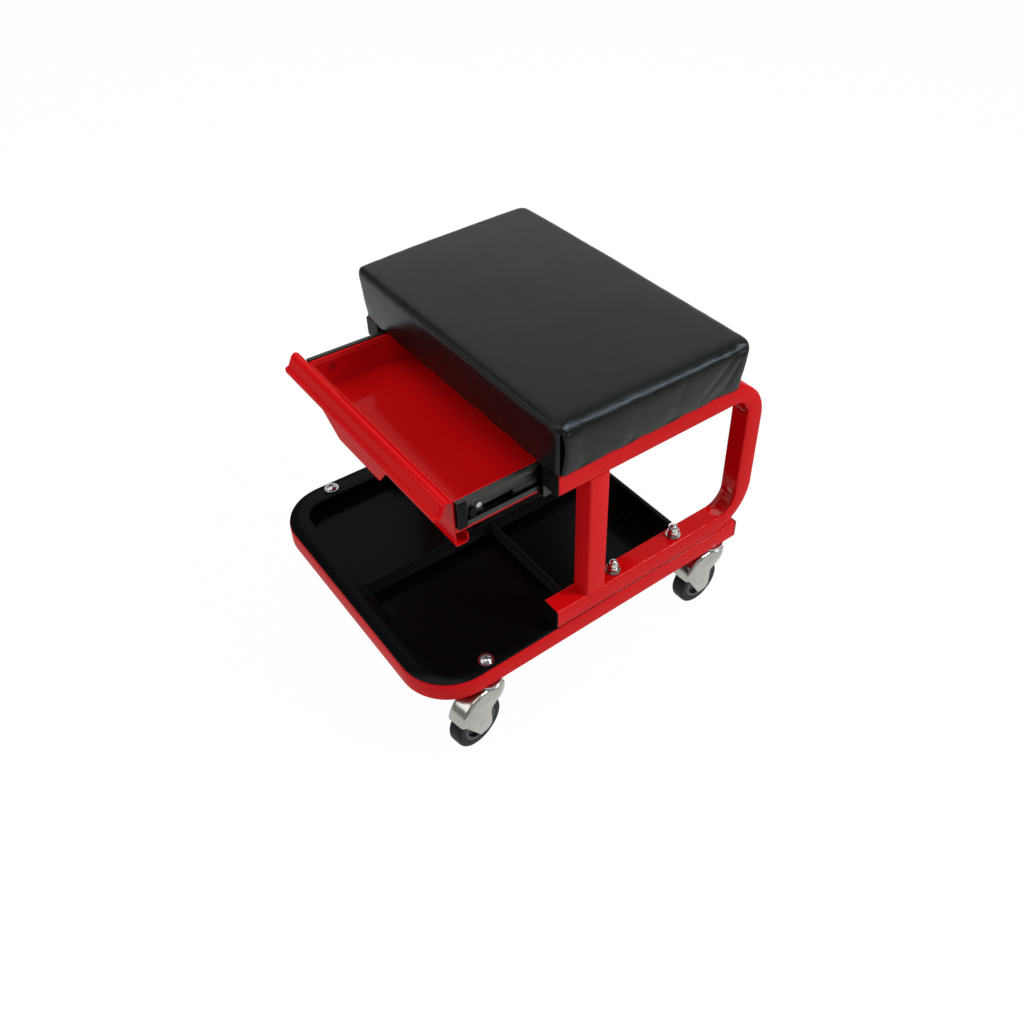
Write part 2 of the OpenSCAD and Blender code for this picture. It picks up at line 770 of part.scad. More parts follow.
// Drawer box: a folded sheet that is the floor and both side walls, with a hem along their
// tops. The floor stops at the front and rear walls
module drawer_box() {
    x = drawer_x;
    color("firebrick") placed() difference() {
        translate([-x, drawer_y, box_z]) cube([2 * x, drawer_l, drawer_h]);
        for (y = [drawer_y - cut, drawer_y + drawer_l - sheet_t]) translate([sheet_t - x, y, box_z - cut])
            cube([2 * (x - sheet_t), sheet_t + cut, sheet_t + 2 * cut]);
        translate([sheet_t - x, drawer_y - cut, box_z + sheet_t])
            cube([2 * (x - sheet_t), drawer_l + 2 * cut, drawer_h - sheet_t - hem_h]);
        translate([sheet_t + hem_gap - x, drawer_y - cut, wall_top_z - hem_h - cut])
            cube([2 * (x - sheet_t - hem_gap), drawer_l + 2 * cut, hem_h + 2 * cut]);
        translate([-x - cut, drawer_y - cut, panel_top_z]) cube([2 * (x + cut), sheet_t + cut, drawer_h]);
        both_sides() for (y = drawer_screw_ys) translate([0, y, member_mid_z])
            rod_x(drawer_screw_r + run_fit, drawer_x - sheet_t - cut, drawer_x + cut);
    }
}

// Front and rear walls of the drawer, set in between the folded box's sides
module drawer_ends() {
    color("firebrick") placed() {
        drawer_wall(drawer_y, panel_top_z);
        drawer_wall(drawer_y + drawer_l - sheet_t, wall_top_z);
    }
}

// Wall across the drawer at y, from the floor's underside up to the height top, notched round
// the hems of the sides
module drawer_wall(y, top) {
    half = drawer_x - sheet_t;
    translate([-half, y, box_z]) cube([2 * half, sheet_t, wall_top_z - hem_h - box_z]);
    translate([hem_gap - half, y, box_z]) cube([2 * (half - hem_gap), sheet_t, top - box_z]);
}

module drawer_screws() {
    head_x = drawer_x - sheet_t;
    color("silver") placed() both_sides() for (y = drawer_screw_ys) translate([0, y, member_mid_z]) {
        rod_x(drawer_head_r, head_x - drawer_head_h, head_x);
        rod_x(drawer_screw_r, head_x - drawer_head_h, drawer_x + slide_t + rivet_h);
        rod_x(rivet_r, drawer_x + slide_t, drawer_x + slide_t + rivet_h);
    }
}

// Path of the pull's sheet in y and z, from the panel over the ridge and down the slope to the lip
slope_top = [-ridge_r, 0] + ridge_r * [cos(ridge_end), sin(ridge_end)];
slope_foot = slope_top + slope_l * [-sin(ridge_end), cos(ridge_end)];
hollow_centre = slope_foot + hollow_r * [cos(ridge_end), sin(ridge_end)];
pull_path = concat(
    [[0, -sheet_t]],
    arc([-ridge_r, 0], ridge_r, 0, ridge_end),
    arc(hollow_centre, hollow_r, ridge_end - 180, -90),
    after_first(arc(hollow_centre - [0, hollow_r + lip_r], lip_r, 90, 180)),
    [hollow_centre - [lip_r, hollow_r + lip_r + lip_h]]);
lip_y = panel_y + pull_path[len(pull_path) - 1].x;
lip_z = panel_top_z + pull_path[len(pull_path) - 1].y;

// Plan of the pull, with both front corners rounded
module pull_plan() {
    left = -drawer_x - panel_left;
    right = drawer_x + panel_right;
    front = lip_y - sheet_t;
    polygon(concat([[right, drawer_y], [left, drawer_y]],
                   rounded([left, drawer_y], [left, front], [right, front], pull_corner_r),
                   rounded([left, front], [right, front], [right, drawer_y], pull_corner_r)));
}

// Drawer front: a panel with a turned-back foot, the rolled pull and the finger tab
module drawer_front() {
    left = -drawer_x - panel_left;
    right = drawer_x + panel_right;
    tab_top = [for (share = tab_top_shares) left + share * (right - left)];
    tab_low = [for (share = tab_low_shares) left + share * (right - left)];
    tab_z = lip_z - tab_h;
    corners = [[tab_top[0], lip_z + lip_h], [tab_top[0], lip_z], [tab_low[0], tab_z], [tab_low[1], tab_z],
               [tab_top[1], lip_z], [tab_top[1], lip_z + lip_h]];
    color("firebrick") placed() {
        along_x(left, right) translate([panel_y, panel_low_z])
            polygon(sheet([[return_d, return_h], [return_d, 0], [0, 0], [0, panel_h]], -sheet_t));
        intersection() {
            along_x(left, right) translate([panel_y, panel_top_z]) polygon(sheet(pull_path, -sheet_t));
            translate([0, 0, lip_z - cut]) linear_extrude(panel_h) pull_plan();
        }
        translate([0, lip_y, 0]) rotate([90, 0, 0]) linear_extrude(sheet_t)
            polygon(concat([corners[0], corners[1]],
                           rounded(corners[1], corners[2], corners[3], tab_corner_r),
                           rounded(corners[2], corners[3], corners[4], tab_corner_r),
                           [corners[4], corners[5]]));
    }
}

// Corners of the base, by the end of a node's name, and the angle of each caster
corner_names = ["fl", "fr", "rl", "rr"];
turns = [0, turn_fr, 0, turn_rr];

// Puts a caster piece, drawn about its stem on the rail's underside, at one corner
module at_corner(name) {
    i = search([name], corner_names)[0];
    placed() translate([i % 2 == 0 ? -tube_x : tube_x, stem_ys[i < 2 ? 0 : 1], 0])
        rotate([0, 0, turns[i]]) children();
}

// Stem with its upper cup and the head that carries the fork; the front ones are longer
// and tapped for the screw that comes down through the rail
module caster_stem(name) {
    is_front = name[0] == "f";
    top = is_front ? tube_w - tube_wall - run_fit : tube_wall + rear_stem_l;
    head_z = crown_z - fork_t - kingpin_gap;
    color("silver") at_corner(name) difference() {
        union() {
            rotate_extrude() cup_outline();
            rod_z(stem_r, head_z - kingpin_h, top);
            rod_z(kingpin_r, head_z - kingpin_h, head_z);
        }
        if (is_front) rod_z(bolt_r + run_fit, top - stem_bore_d, top + cut);
    }
}

// Half section of the upper cup, rounded at its lower edge
module cup_outline() {
    polygon(concat([[0, 0], [0, -cup_h]],
                   arc([cup_r - cup_round, cup_round - cup_h], cup_round, -90, 0),
                   [[cup_r, 0]]));
}

// Centre of the hood's curve in y and z about the stem
hood_centre = [hood_back - trail, crown_z - hood_r];

// Side outline of a fork leg, drawn in y and z about the stem: over the hood, down the
// shoulder behind the crown and round the axle
module leg_outline() {
    back = leg_back - trail;
    front = -leg_front - trail;
    low = -axle_drop - leg_low;
    waist = [back, waist_rise - axle_drop];
    tip = hood_centre + hood_r * [cos(hood_end), sin(hood_end)];
    polygon(concat([[crown_back, crown_z]], arc(hood_centre, hood_r, 90, hood_end),
                   rounded(tip, [front, low], [back, low], leg_front_r),
                   rounded([front, low], [back, low], waist, leg_back_r),
                   [waist],
                   arc([crown_back - shoulder_r, crown_z - shoulder_drop], shoulder_r, shoulder_end, 0)));
}

// Curved hood between the legs, in y and z about the stem
module hood_outline() {
    polygon(concat(arc(hood_centre, hood_r, 90, hood_end), arc(hood_centre, hood_r - fork_t, hood_end, 90)));
}

// Pressed fork: two legs joined by the hood in front and by the round crown at the stem
module caster_fork(name) {
    color("silver") at_corner(name) difference() {
        union() {
            for (x = [-fork_out, fork_in]) along_x(x, x + fork_t) leg_outline();
            along_x(-fork_out, fork_out) hood_outline();
            translate([-fork_out, hood_centre.x, crown_z - fork_t]) cube([2 * fork_out, -hood_centre.x, fork_t]);
            difference() {
                rod_z(drum_r, crown_z - drum_h, crown_z);
                rod_z(drum_r - fork_t, crown_z - drum_h - cut, crown_z - fork_t);
            }
        }
        rod_z(stem_r + run_fit, crown_z - fork_t - cut, crown_z + cut);
        translate([0, -trail, -axle_drop]) rod_x(axle_r + run_fit, -fork_out - cut, fork_out + cut);
    }
}

// Axle with a riveted head on each end
module caster_axle(name) {
    color("silver") at_corner(name) translate([0, -trail, -axle_drop]) {
        rod_x(axle_r, -fork_out - axle_end_h, fork_out + axle_end_h);
        for (x = [-fork_out - axle_end_h, fork_out]) rod_x(axle_end_r, x, x + axle_end_h);
    }
}

// Spins a half section, drawn in radius and width, about the axle
module wheel_spun(name) {
    at_corner(name) translate([0, -trail, -axle_drop]) rotate([0, 90, 0]) rotate_extrude() children();
}

module caster_tyre(name) {
    half = wheel_w / 2;
    color("#111111") wheel_spun(name)
        polygon(concat([[core_r, -half], [wheel_r - tyre_round, -half]],
                       arc([wheel_r - tyre_round, tyre_round - half], tyre_round, -90, 0),
                       arc([wheel_r - tyre_round, half - tyre_round], tyre_round, 0, 90),
                       [[core_r, half]]));
}

module caster_core(name) {
    half = wheel_w / 2;
    hub = fork_in - hub_gap;
    bore = axle_r + run_fit;
    color("#2a2a2a") wheel_spun(name)
        polygon([[bore, -hub], [hub_r, -hub], [hub_r, -web_w / 2], [core_r - rim_t, -web_w / 2],
                 [core_r - rim_t, -half], [core_r, -half], [core_r, half], [core_r - rim_t, half],
                 [core_r - rim_t, web_w / 2], [hub_r, web_w / 2], [hub_r, hub], [bore, hub]]);
}

base_rail();
tray();
divider_long();
cross_dividers();
side_frame(-1);  // side_frame_l
side_frame(1);  // side_frame_r
post(-1);  // post_l
post(1);  // post_r
post_welds();
base_caps();
run_caps();
flange_bolts();
acorn_nuts();
nut_washers();
front_screws();
front_washers();
rear_nuts();
seat_board();
seat_screws();
cushion();
slide_cabinet(-1);  // slide_cabinet_l
slide_cabinet(1);  // slide_cabinet_r
slide_screws();
slide_drawer(-1);  // slide_drawer_l
slide_drawer(1);  // slide_drawer_r
ball_cage(-1);  // ball_cage_l
ball_cage(1);  // ball_cage_r
slide_lever(-1);  // slide_lever_l
slide_lever(1);  // slide_lever_r
slide_bumper(-1);  // slide_bumper_l
slide_bumper(1);  // slide_bumper_r
drawer_box();
drawer_ends();
drawer_front();
drawer_screws();
for (c = corner_names) {
    caster_stem(c);
    caster_fork(c);
    caster_axle(c);
    caster_tyre(c);
    caster_core(c);
}
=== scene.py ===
"""Looks of the rolling workshop seat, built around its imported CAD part."""

import json
import math
from math import cos, pi, radians, sin

import bmesh
import bpy
import numpy as np
from mathutils import Matrix, Vector, noise
from mathutils.bvhtree import BVHTree


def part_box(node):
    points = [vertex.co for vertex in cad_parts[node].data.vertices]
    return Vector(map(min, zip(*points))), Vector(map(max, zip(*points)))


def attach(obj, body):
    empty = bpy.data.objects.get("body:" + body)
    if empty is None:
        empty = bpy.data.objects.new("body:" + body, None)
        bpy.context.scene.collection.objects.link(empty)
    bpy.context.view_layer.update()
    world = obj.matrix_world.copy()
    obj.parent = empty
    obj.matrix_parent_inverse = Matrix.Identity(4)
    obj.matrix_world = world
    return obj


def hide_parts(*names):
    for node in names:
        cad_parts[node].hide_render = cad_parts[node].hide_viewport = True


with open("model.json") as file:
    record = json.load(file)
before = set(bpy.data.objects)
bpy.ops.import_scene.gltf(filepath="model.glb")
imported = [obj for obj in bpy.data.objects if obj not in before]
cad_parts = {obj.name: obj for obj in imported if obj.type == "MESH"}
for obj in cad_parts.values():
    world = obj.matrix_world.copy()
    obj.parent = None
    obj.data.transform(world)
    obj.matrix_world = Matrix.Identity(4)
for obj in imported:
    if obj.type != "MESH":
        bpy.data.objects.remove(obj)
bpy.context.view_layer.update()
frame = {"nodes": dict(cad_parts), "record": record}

MM = 0.001
RECORD = frame["record"]
BODY_OF = {n: b for b, ns in RECORD["behaviour"]["bodies"].items() for n in ns}
SLOT_OF = {s["node"]: s["material_slot"] for s in RECORD["subparts"]}
JOINTS = {j["name"]: j for j in RECORD["behaviour"]["joints"]}
rail_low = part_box("base_rail")[0]
Y0, Z0 = rail_low.y, rail_low.z

# Sizes of the drawing in mm: y back from the rail's front face, z up from its underside
TUBE, WALL_EDGE = 25.4, 2.2
HALF, INNER = 189.0, 163.6
TUBE_X = (HALF + INNER) / 2
BEND_R, BEND_IN_R = 61.0, 25.0
RAIL_L = 448.5
SIDE_Y, SIDE_BACK = 164.5, 465.0
FLANGE_Z = 26.9
LOW_TOP = FLANGE_Z + TUBE
SIDE_TOP = 249.4
POST_Y = 206.0
TRAY_FLOOR, TRAY_BACK, TRAY_X, TRAY_FRONT = 7.9, 356.5, 161.3, 27.7
CROSS_Y = 203.5
DRAWER_X, DRAWER_L, SHEET = 150.0, 250.0, 1.2
PANEL_Y, PANEL_TOP, PANEL_LOW = 66.0, 241.2, 187.2
PULL_LEFT, PULL_RIGHT = -170.0, 152.0
LIP_Y, LIP_TOP, LIP_DROP = PANEL_Y - 21.4, 230.4, 1.8
TAB_TOP, TAB_LOW, TAB_H = (-77.0, 59.0), (-43.7, 42.6), 20.6
FORK_OUT, FORK_T, CROWN_Z = 13.2, 2.5, -4.3
SEAT_X, SEAT_Y0, SEAT_Y1 = 188.6, 164.4, 414.3
SEAT_HY, SEAT_CY = (SEAT_Y1 - SEAT_Y0) / 2, (SEAT_Y1 + SEAT_Y0) / 2
SEAT_Z, SEAT_H = 249.7, 61.5
SEAT_SIDE_R, SEAT_RIM_R = 6.0, 8.5

# Hollow that the bending press left in a bend's inner wall: depth, squareness of its rim, share of
# the tube's width, and its ripples' height
DENT, DENT_RIM, DENT_SHARE, RIPPLE = 4.6, 0.42, 0.9, 0.5
# A bend's stations run a little past its ends: how far, how fast along the arc, and on past it
# in mm
PAST, PACE, RUN_ON, BEND_STEPS = 1.15, 1.22, 18.0, 40
# Where the hollow's gloss lies: how far past a bend, from which depth to which, and half its width
GLOSS_PAST, GLOSS_DEPTHS, GLOSS_HALF = 3.0, (0.8, 8.0), 10.5

SHARP = 40
MERGE = 1e-7


# Mesh tools
def place(p):
    """Point of the drawing, in mm, as a point of the part's frame in metres."""
    return Vector((p[0] * MM, Y0 + p[1] * MM, Z0 + p[2] * MM))


def drawn(co):
    """Point of the part's frame as a point of the drawing, in mm."""
    return co.x / MM, (co.y - Y0) / MM, (co.z - Z0) / MM


def all_smooth(me):
    me.polygons.foreach_set("use_smooth", [True] * len(me.polygons))


def finish_mesh(bm, name, smooth=SHARP):
    """Object of a bmesh, smooth but for edges sharper than an angle in degrees."""
    bmesh.ops.recalc_face_normals(bm, faces=bm.faces)
    me = bpy.data.meshes.new(name)
    bm.to_mesh(me)
    bm.free()
    all_smooth(me)
    me.set_sharp_from_angle(angle=radians(smooth))
    obj = bpy.data.objects.new(name, me)
    bpy.context.scene.collection.objects.link(obj)
    return obj


def bevel_edges(bm, width, angle):
    """Rounds the edges that are sharper than an angle in degrees."""
    edges = [e for e in bm.edges
             if len(e.link_faces) == 2 and e.calc_face_angle(0) > radians(angle)]
    bmesh.ops.bevel(bm, geom=edges, offset=width * MM, offset_type="OFFSET", segments=2,
                    profile=0.5, affect="EDGES", clamp_overlap=True)


def mesh_from(parts, merge=MERGE, at=place):
    """bmesh from several (points, faces) pairs. at places a point in the part's frame."""
    bm = bmesh.new()
    for points, faces in parts:
        vs = [bm.verts.new(at(p)) for p in points]
        for f in faces:
            bm.faces.new([vs[i] for i in f])
    if merge:
        bmesh.ops.remove_doubles(bm, verts=bm.verts, dist=merge)
    return bm


def dress(obj, *nodes):
    """Hides the CAD nodes that a piece stands for, and gives it the material of their slot and their
    body.
    """
    obj.data.materials.clear()
    obj.data.materials.append(MATS[SLOT_OF[nodes[0]]])
    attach(obj, BODY_OF[nodes[0]])
    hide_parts(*nodes)


def add_on(obj, material, body):
    """Gives a piece that stands for no CAD node its material and body."""
    obj.data.materials.append(MATS[material])
    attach(obj, body)


def loft(rings, closed=True, caps=True):
    """Points and faces of a skin through rings with the same count of points."""
    n, m = len(rings[0]), len(rings)
    points = [p for r in rings for p in r]
    faces = []
    for i in range(m - 1):
        for j in range(n if closed else n - 1):
            k = (j + 1) % n
            faces.append((i * n + j, i * n + k, (i + 1) * n + k, (i + 1) * n + j))
    if caps:
        faces.append(tuple(range(n)))
        faces.append(tuple((m - 1) * n + j for j in range(n)))
    return points, faces


def prism(outline, low, high, axis="x"):
    """Closed outline extruded along an axis. It is (y, z) for x, (x, z) for y and (x, y) for z."""
    def at(p, t):
        return {"x": (t, p[0], p[1]), "y": (p[0], t, p[1]), "z": (p[0], p[1], t)}[axis]
    return loft([[at(p, low) for p in outline], [at(p, high) for p in outline]])


def box_outline(a0, a1, b0, b1):
    return [(a0, b0), (a1, b0), (a1, b1), (a0, b1)]


def arc(cx, cy, r, a0, a1, n):
    return [(cx + r * cos(radians(a0 + (a1 - a0) * i / n)),
             cy + r * sin(radians(a0 + (a1 - a0) * i / n))) for i in range(n + 1)]


def fillet(points, radii, n):
    """Open path with its inner corners rounded, each in n steps."""
    out = [points[0]]
    for i in range(1, len(points) - 1):
        a, b, c = (np.array(points[k], float) for k in (i - 1, i, i + 1))
        u, v = (a - b) / np.linalg.norm(a - b), (c - b) / np.linalg.norm(c - b)
        half = math.acos(max(-1, min(1, float(u @ v)))) / 2
        r = radii[i]
        if r <= 0 or half > pi / 2 - 0.01:
            out.append(tuple(b))
            continue
        centre = b + (u + v) / np.linalg.norm(u + v) * r / sin(half)
        p, q = b + u * r / math.tan(half) - centre, b + v * r / math.tan(half) - centre
        start = math.atan2(p[1], p[0])
        turn = math.atan2(p[0] * q[1] - p[1] * q[0], float(p @ q))
        angles = [start + turn * k / n for k in range(n + 1)]
        out += [tuple(centre + r * np.array((cos(t), sin(t)))) for t in angles]
    out.append(points[-1])
    return out


def closed_fillet(points, radii, n):
    """Closed outline with every corner rounded, by one radius or by a list of them."""
    m = len(points)
    r = radii if hasattr(radii, "__len__") else [radii] * m
    out = []
    for i in range(m):
        path = [points[i - 1], points[i], points[(i + 1) % m]]
        out += fillet(path, [0, r[i], 0], n)[1:-1]
    return out


def thick(path, t):
    """Closed outline of a sheet of thickness t to the left of a 2-D path."""
    p = np.array(path, float)
    d = np.diff(p, axis=0)
    d /= np.linalg.norm(d, axis=1)[:, None]
    left = np.stack([-d[:, 1], d[:, 0]], 1)
    m = np.vstack([left[:1], left[:-1] + left[1:], left[-1:]])
    m /= np.linalg.norm(m, axis=1)[:, None]
    k = np.concatenate([[1], np.sum(m[1:-1] * left[1:], 1), [1]])
    q = p + m * (t / k)[:, None]
    return [tuple(v) for v in p] + [tuple(v) for v in q[::-1]]


def revolve(profile, centre, axis, n):
    """Closed profile in (radius, along) about an axis through centre: points and faces."""
    axis = Vector(axis).normalized()
    side = axis.orthogonal().normalized()
    other = axis.cross(side)
    rings = []
    for i in range(n):
        a = 2 * pi * i / n
        out = side * cos(a) + other * sin(a)
        rings.append([tuple(Vector(centre) + out * r + axis * t) for r, t in profile])
    rings.append(rings[0])
    return loft(rings, closed=True, caps=False)


def solidify(obj, thickness):
    """Gives a skin its sheet's thickness, inwards."""
    solid = obj.modifiers.new("sheet", "SOLIDIFY")
    solid.thickness = thickness * MM
    solid.offset = -1


def modified(obj, sharp=None):
    """Replaces an object's mesh with the one that its modifiers make, with its sharp edges marked
    again where an angle is given."""
    deps = bpy.context.evaluated_depsgraph_get()
    me = bpy.data.meshes.new_from_object(obj.evaluated_get(deps))
    obj.modifiers.clear()
    obj.data = me
    if sharp:
        me.set_sharp_from_angle(angle=radians(sharp))


# Materials
def add_node(nt, kind, inputs=None):
    """New node with its inputs set to numbers and colours or linked to the outputs of others."""
    n = nt.nodes.new("ShaderNode" + kind)
    set_inputs(nt, n, inputs or {})
    return n


def set_inputs(nt, node, inputs):
    for key, value in inputs.items():
        if isinstance(value, bpy.types.NodeSocket):
            nt.links.new(value, node.inputs[key])
        else:
            node.inputs[key].default_value = value


def new_material(name):
    m = bpy.data.materials.new(name)
    m.use_nodes = True
    nt = m.node_tree
    nt.nodes.clear()
    sh = add_node(nt, "BsdfPrincipled")
    add_node(nt, "OutputMaterial", {0: sh.outputs[0]})
    return m, nt, sh


def coords(nt, scale=(1, 1, 1)):
    place_of = add_node(nt, "TexCoord").outputs["Object"]
    return add_node(nt, "Mapping", {0: place_of, "Scale": scale}).outputs[0]


def noise_node(nt, vec, scale, detail=3, rough=0.5):
    inputs = {"Vector": vec, "Scale": scale, "Detail": detail, "Roughness": rough}
    return add_node(nt, "TexNoise", inputs).outputs["Fac"]


def ramp(nt, fac, stops):
    """Colour that follows a value, from (place, colour) stops."""
    r = add_node(nt, "ValToRGB", {0: fac})
    el = r.color_ramp.elements
    while len(el) < len(stops):
        el.new(0.5)
    for e, (pos, col) in zip(el, stops):
        e.position = pos
        e.color = (*col, 1)
    return r.outputs[0]


def greys(nt, fac, low, high, start=0.3, end=0.7):
    """Grey that goes from low to high while a value goes from start to end."""
    return ramp(nt, fac, [(start, (low,) * 3), (end, (high,) * 3)])


def bump(nt, height, strength, distance, normal=None):
    inputs = {"Strength": strength, "Distance": distance, "Height": height}
    if normal is not None:
        inputs["Normal"] = normal
    return add_node(nt, "Bump", inputs).outputs[0]


def mix_colour(nt, fac, a, b):
    """Colour a, turned to b where fac is one."""
    m = add_node(nt, "Mix")
    m.data_type = "RGBA"
    set_inputs(nt, m, {0: fac, 6: a, 7: (*b, 1)})
    return m.outputs[2]


def paint(name, base, deep, peel, gloss, gloss_rough):
    """Powder coat: slight colour change, orange peel and a painted highlight along sharp edges, under
    a gloss layer that is strongest where a mesh's "pressed" values mark a pressed bend."""
    m, nt, sh = new_material(name)
    v = coords(nt)
    col = ramp(nt, noise_node(nt, v, 9, 2), [(0.35, deep), (0.65, base)])
    # painted highlight: sharp convex edges get a lighter colour, mixed in below
    light = tuple(min(1, c * 1.25 + 0.02) for c in base)
    painted_edge_highlight = greys(nt, add_node(nt, "NewGeometry").outputs["Pointiness"], 0, 1, 0.54, 0.7)
    peeled = bump(nt, noise_node(nt, v, 420, 2), peel, 0.0004)
    pressed = add_node(nt, "Attribute")
    pressed.attribute_name = "pressed"
    set_inputs(nt, sh, {
        "Base Color": mix_colour(nt, painted_edge_highlight, col, light),
        "Roughness": greys(nt, noise_node(nt, v, 60), 0.3, 0.4),
        "Normal": peeled,
        "Specular IOR Level": 0.0,
        "Coat Weight": greys(nt, pressed.outputs["Fac"], gloss, 1, 0, 1),
        "Coat Roughness": gloss_rough,
        "Coat Normal": peeled})
    return m


def metal(name, base, rough, grain=0.1, grain_scale=(40, 900, 900)):
    """Plated metal: fine grain, cloudy roughness and a faint tint."""
    m, nt, sh = new_material(name)
    cloud = noise_node(nt, coords(nt), 70)
    lines = noise_node(nt, coords(nt, grain_scale), 1, 2)
    tint = tuple(c * 0.86 for c in base)
    set_inputs(nt, sh, {
        "Base Color": ramp(nt, cloud, [(0.35, tint), (0.62, base)]),
        "Roughness": greys(nt, cloud, rough * 0.7, rough * 1.3),
        "Normal": bump(nt, lines, grain, 0.0003),
        "Metallic": 1.0})
    return m


def plastic(name, base, rough, grain=0.15, scale=900, spec=0.5):
    """Moulded plastic or rubber: faint mottling, cloudy roughness and a fine grain."""
    m, nt, sh = new_material(name)
    v = coords(nt)
    darker = tuple(c * 0.75 for c in base)
    set_inputs(nt, sh, {
        "Base Color": ramp(nt, noise_node(nt, v, 30), [(0.35, darker), (0.65, base)]),
        "Roughness": greys(nt, noise_node(nt, v, 120), rough * 0.85, rough * 1.15),
        "Normal": bump(nt, noise_node(nt, v, scale), grain, 0.0003),
        "Specular IOR Level": spec})
    return m


def vinyl_material():
    """Black vinyl: fine leather grain from Voronoi cells, soft mottling and creases."""
    m, nt, sh = new_material("vinyl")
    v = coords(nt)
    mottling = noise_node(nt, v, 14)
    cells = add_node(nt, "TexVoronoi")
    cells.feature = "DISTANCE_TO_EDGE"
    set_inputs(nt, cells, {"Scale": 900, "Vector": v})
    grain = greys(nt, cells.outputs["Distance"], 0, 1, 0, 0.25)
    wrinkles = noise_node(nt, coords(nt, (1, 1, 0.4)), 55, 4, 0.6)
    surface = bump(nt, wrinkles, 0.12, 0.001, bump(nt, grain, 0.25, 0.0002))
    set_inputs(nt, sh, {
        "Base Color": ramp(nt, mottling, [(0.3, (0.0038, 0.0047, 0.0046)),
                                          (0.7, (0.0064, 0.0077, 0.0076))]),
        "Roughness": greys(nt, mottling, 0.28, 0.35),
        "Normal": surface,
        "Specular IOR Level": 0.03,
        "Coat Weight": 0.3,
        "Coat Roughness": 0.15,
        "Coat Normal": surface})
    return m


def wood(name):
    """Pine board: stretched rings and a rough grain."""
    m, nt, sh = new_material(name)
    rings = noise_node(nt, coords(nt, (6, 60, 300)), 1, 4)
    grain = noise_node(nt, coords(nt, (1, 1, 14)), 120)
    set_inputs(nt, sh, {
        "Base Color": ramp(nt, rings, [(0.3, (0.36, 0.22, 0.11)), (0.7, (0.6, 0.43, 0.26))]),
        "Normal": bump(nt, grain, 0.2, 0.0004),
        "Roughness": 0.75})
    return m


MATS = {
    "red_paint": paint("red_paint", (0.60, 0.0015, 0.003), (0.53, 0.001, 0.002), 0.03, 0.2, 0.1),
    "black_paint": paint("black_paint", (0.0014, 0.0017, 0.0021), (0.0011, 0.0013, 0.0016), 0.08,
                         0.13, 0.22),
    "slide_steel": metal("slide_steel", (0.06, 0.06, 0.056), 0.4, 0.1, (40, 40, 900)),
    "cage_steel": metal("cage_steel", (0.55, 0.54, 0.5), 0.3),
    "black_plastic": plastic("black_plastic", (0.005, 0.0046, 0.004), 0.42, spec=0.06),
    "zinc": metal("zinc", (0.47, 0.47, 0.46), 0.22, 0.08),
    "fork_zinc": metal("fork_zinc", (0.42, 0.41, 0.375), 0.2, 0.06, (60, 60, 60)),
    "chrome": metal("chrome", (0.6, 0.6, 0.57), 0.08, 0.02),
    "board": wood("board"),
    "vinyl": vinyl_material(),
    "tyre": plastic("tyre", (0.006, 0.006, 0.0055), 0.5, 0.12, 700, 0.15),
    # near-black, matt and without gloss: painted shade for the cushion's fold gaps and the slide
    # slots
    "painted_shade": plastic("painted_shade", (0.0005,) * 3, 0.9, spec=0.0),
    "core": plastic("core", (0.02,) * 3, 0.4),
}


# Square tubes
def tube_section(outer, inner, low, high, way, axis):
    """Ring of the square tube's section between an outer and an inner 2-D point. The inner wall is
    pressed in where way, the place along a bend, is within -1 and 1. axis names the plane: "xy" for
    the rail, "yz" for a side frame."""
    edge = WALL_EDGE
    o, i = np.array(outer, float), np.array(inner, float)
    depth = np.linalg.norm(i - o)
    u = (i - o) / depth
    pts = []
    for cx, cy, a0 in ((edge, low + edge, 180), (depth - edge, low + edge, 270),
                       (depth - edge, high - edge, 0), (edge, high - edge, 90)):
        pts += arc(cx, cy, edge, a0, a0 + 90, 4)
        if a0 == 270:
            pts += [(depth, t) for t in np.linspace(low + edge, high - edge, 19)[1:-1]]
    ring = []
    for d, t in pts:
        if d > depth * 0.5:
            s = (t - (low + high) / 2) / ((high - low) / 2 * DENT_SHARE)
            reach = way ** 4 + s * s
            if reach < 1:
                ripple = RIPPLE * sin(15 * way + 3 * s * s + 1) * max(0.0, 1 - 1.6 * way * way)
                dent = DENT * (1 - reach) ** DENT_RIM + ripple * (1 - reach)
                d -= dent * min(1.0, (1 - reach) * 4)
        q = o + u * d
        ring.append((q[0], q[1], t) if axis == "xy" else (t, q[0], q[1]))
    return ring


def bend_stations(co, ci, a0, a1):
    """Matching outer and inner points round a bend and just past its ends, and the place along it."""
    out = []
    for way in np.linspace(-PAST, PAST, BEND_STEPS + 1):
        t = min(1.0, max(-1.0, way * PACE))
        a = radians((a0 + a1) / 2 + (a1 - a0) / 2 * t)
        d = np.array((cos(a), sin(a)))
        on = np.array((-d[1], d[0])) * math.copysign(RUN_ON, a1 - a0) * (way * PACE - t)
        out.append((tuple(co + BEND_R * d + on), tuple(ci + BEND_IN_R * d + on), way))
    return out


def rail_stations():
    st = [((HALF, RAIL_L), (INNER, RAIL_L), 1.0)]
    st += bend_stations((HALF - BEND_R, BEND_R), (INNER - BEND_IN_R, TUBE + BEND_IN_R), 0, -90)
    left = [((-o[0], o[1]), (-i[0], i[1]), way) for o, i, way in reversed(st)]
    return st + left


def side_stations():
    y_out, y_in = SIDE_BACK - BEND_R, SIDE_BACK - TUBE - BEND_IN_R
    st = [((SIDE_Y, FLANGE_Z), (SIDE_Y, LOW_TOP), 1.0)]
    st += bend_stations((y_out, FLANGE_Z + BEND_R), (y_in, LOW_TOP + BEND_IN_R), -90, 0)
    st += bend_stations((y_out, SIDE_TOP - BEND_R), (y_in, SIDE_TOP - TUBE - BEND_IN_R), 0, 90)
    st.append(((SIDE_Y, SIDE_TOP), (SIDE_Y, SIDE_TOP - TUBE), 1.0))
    return st


def base_rail():
    rings = [tube_section(o, i, 0, TUBE, way, "xy") for o, i, way in rail_stations()]
    dress(finish_mesh(mesh_from([loft(rings)]), "rail_tube"), "base_rail")


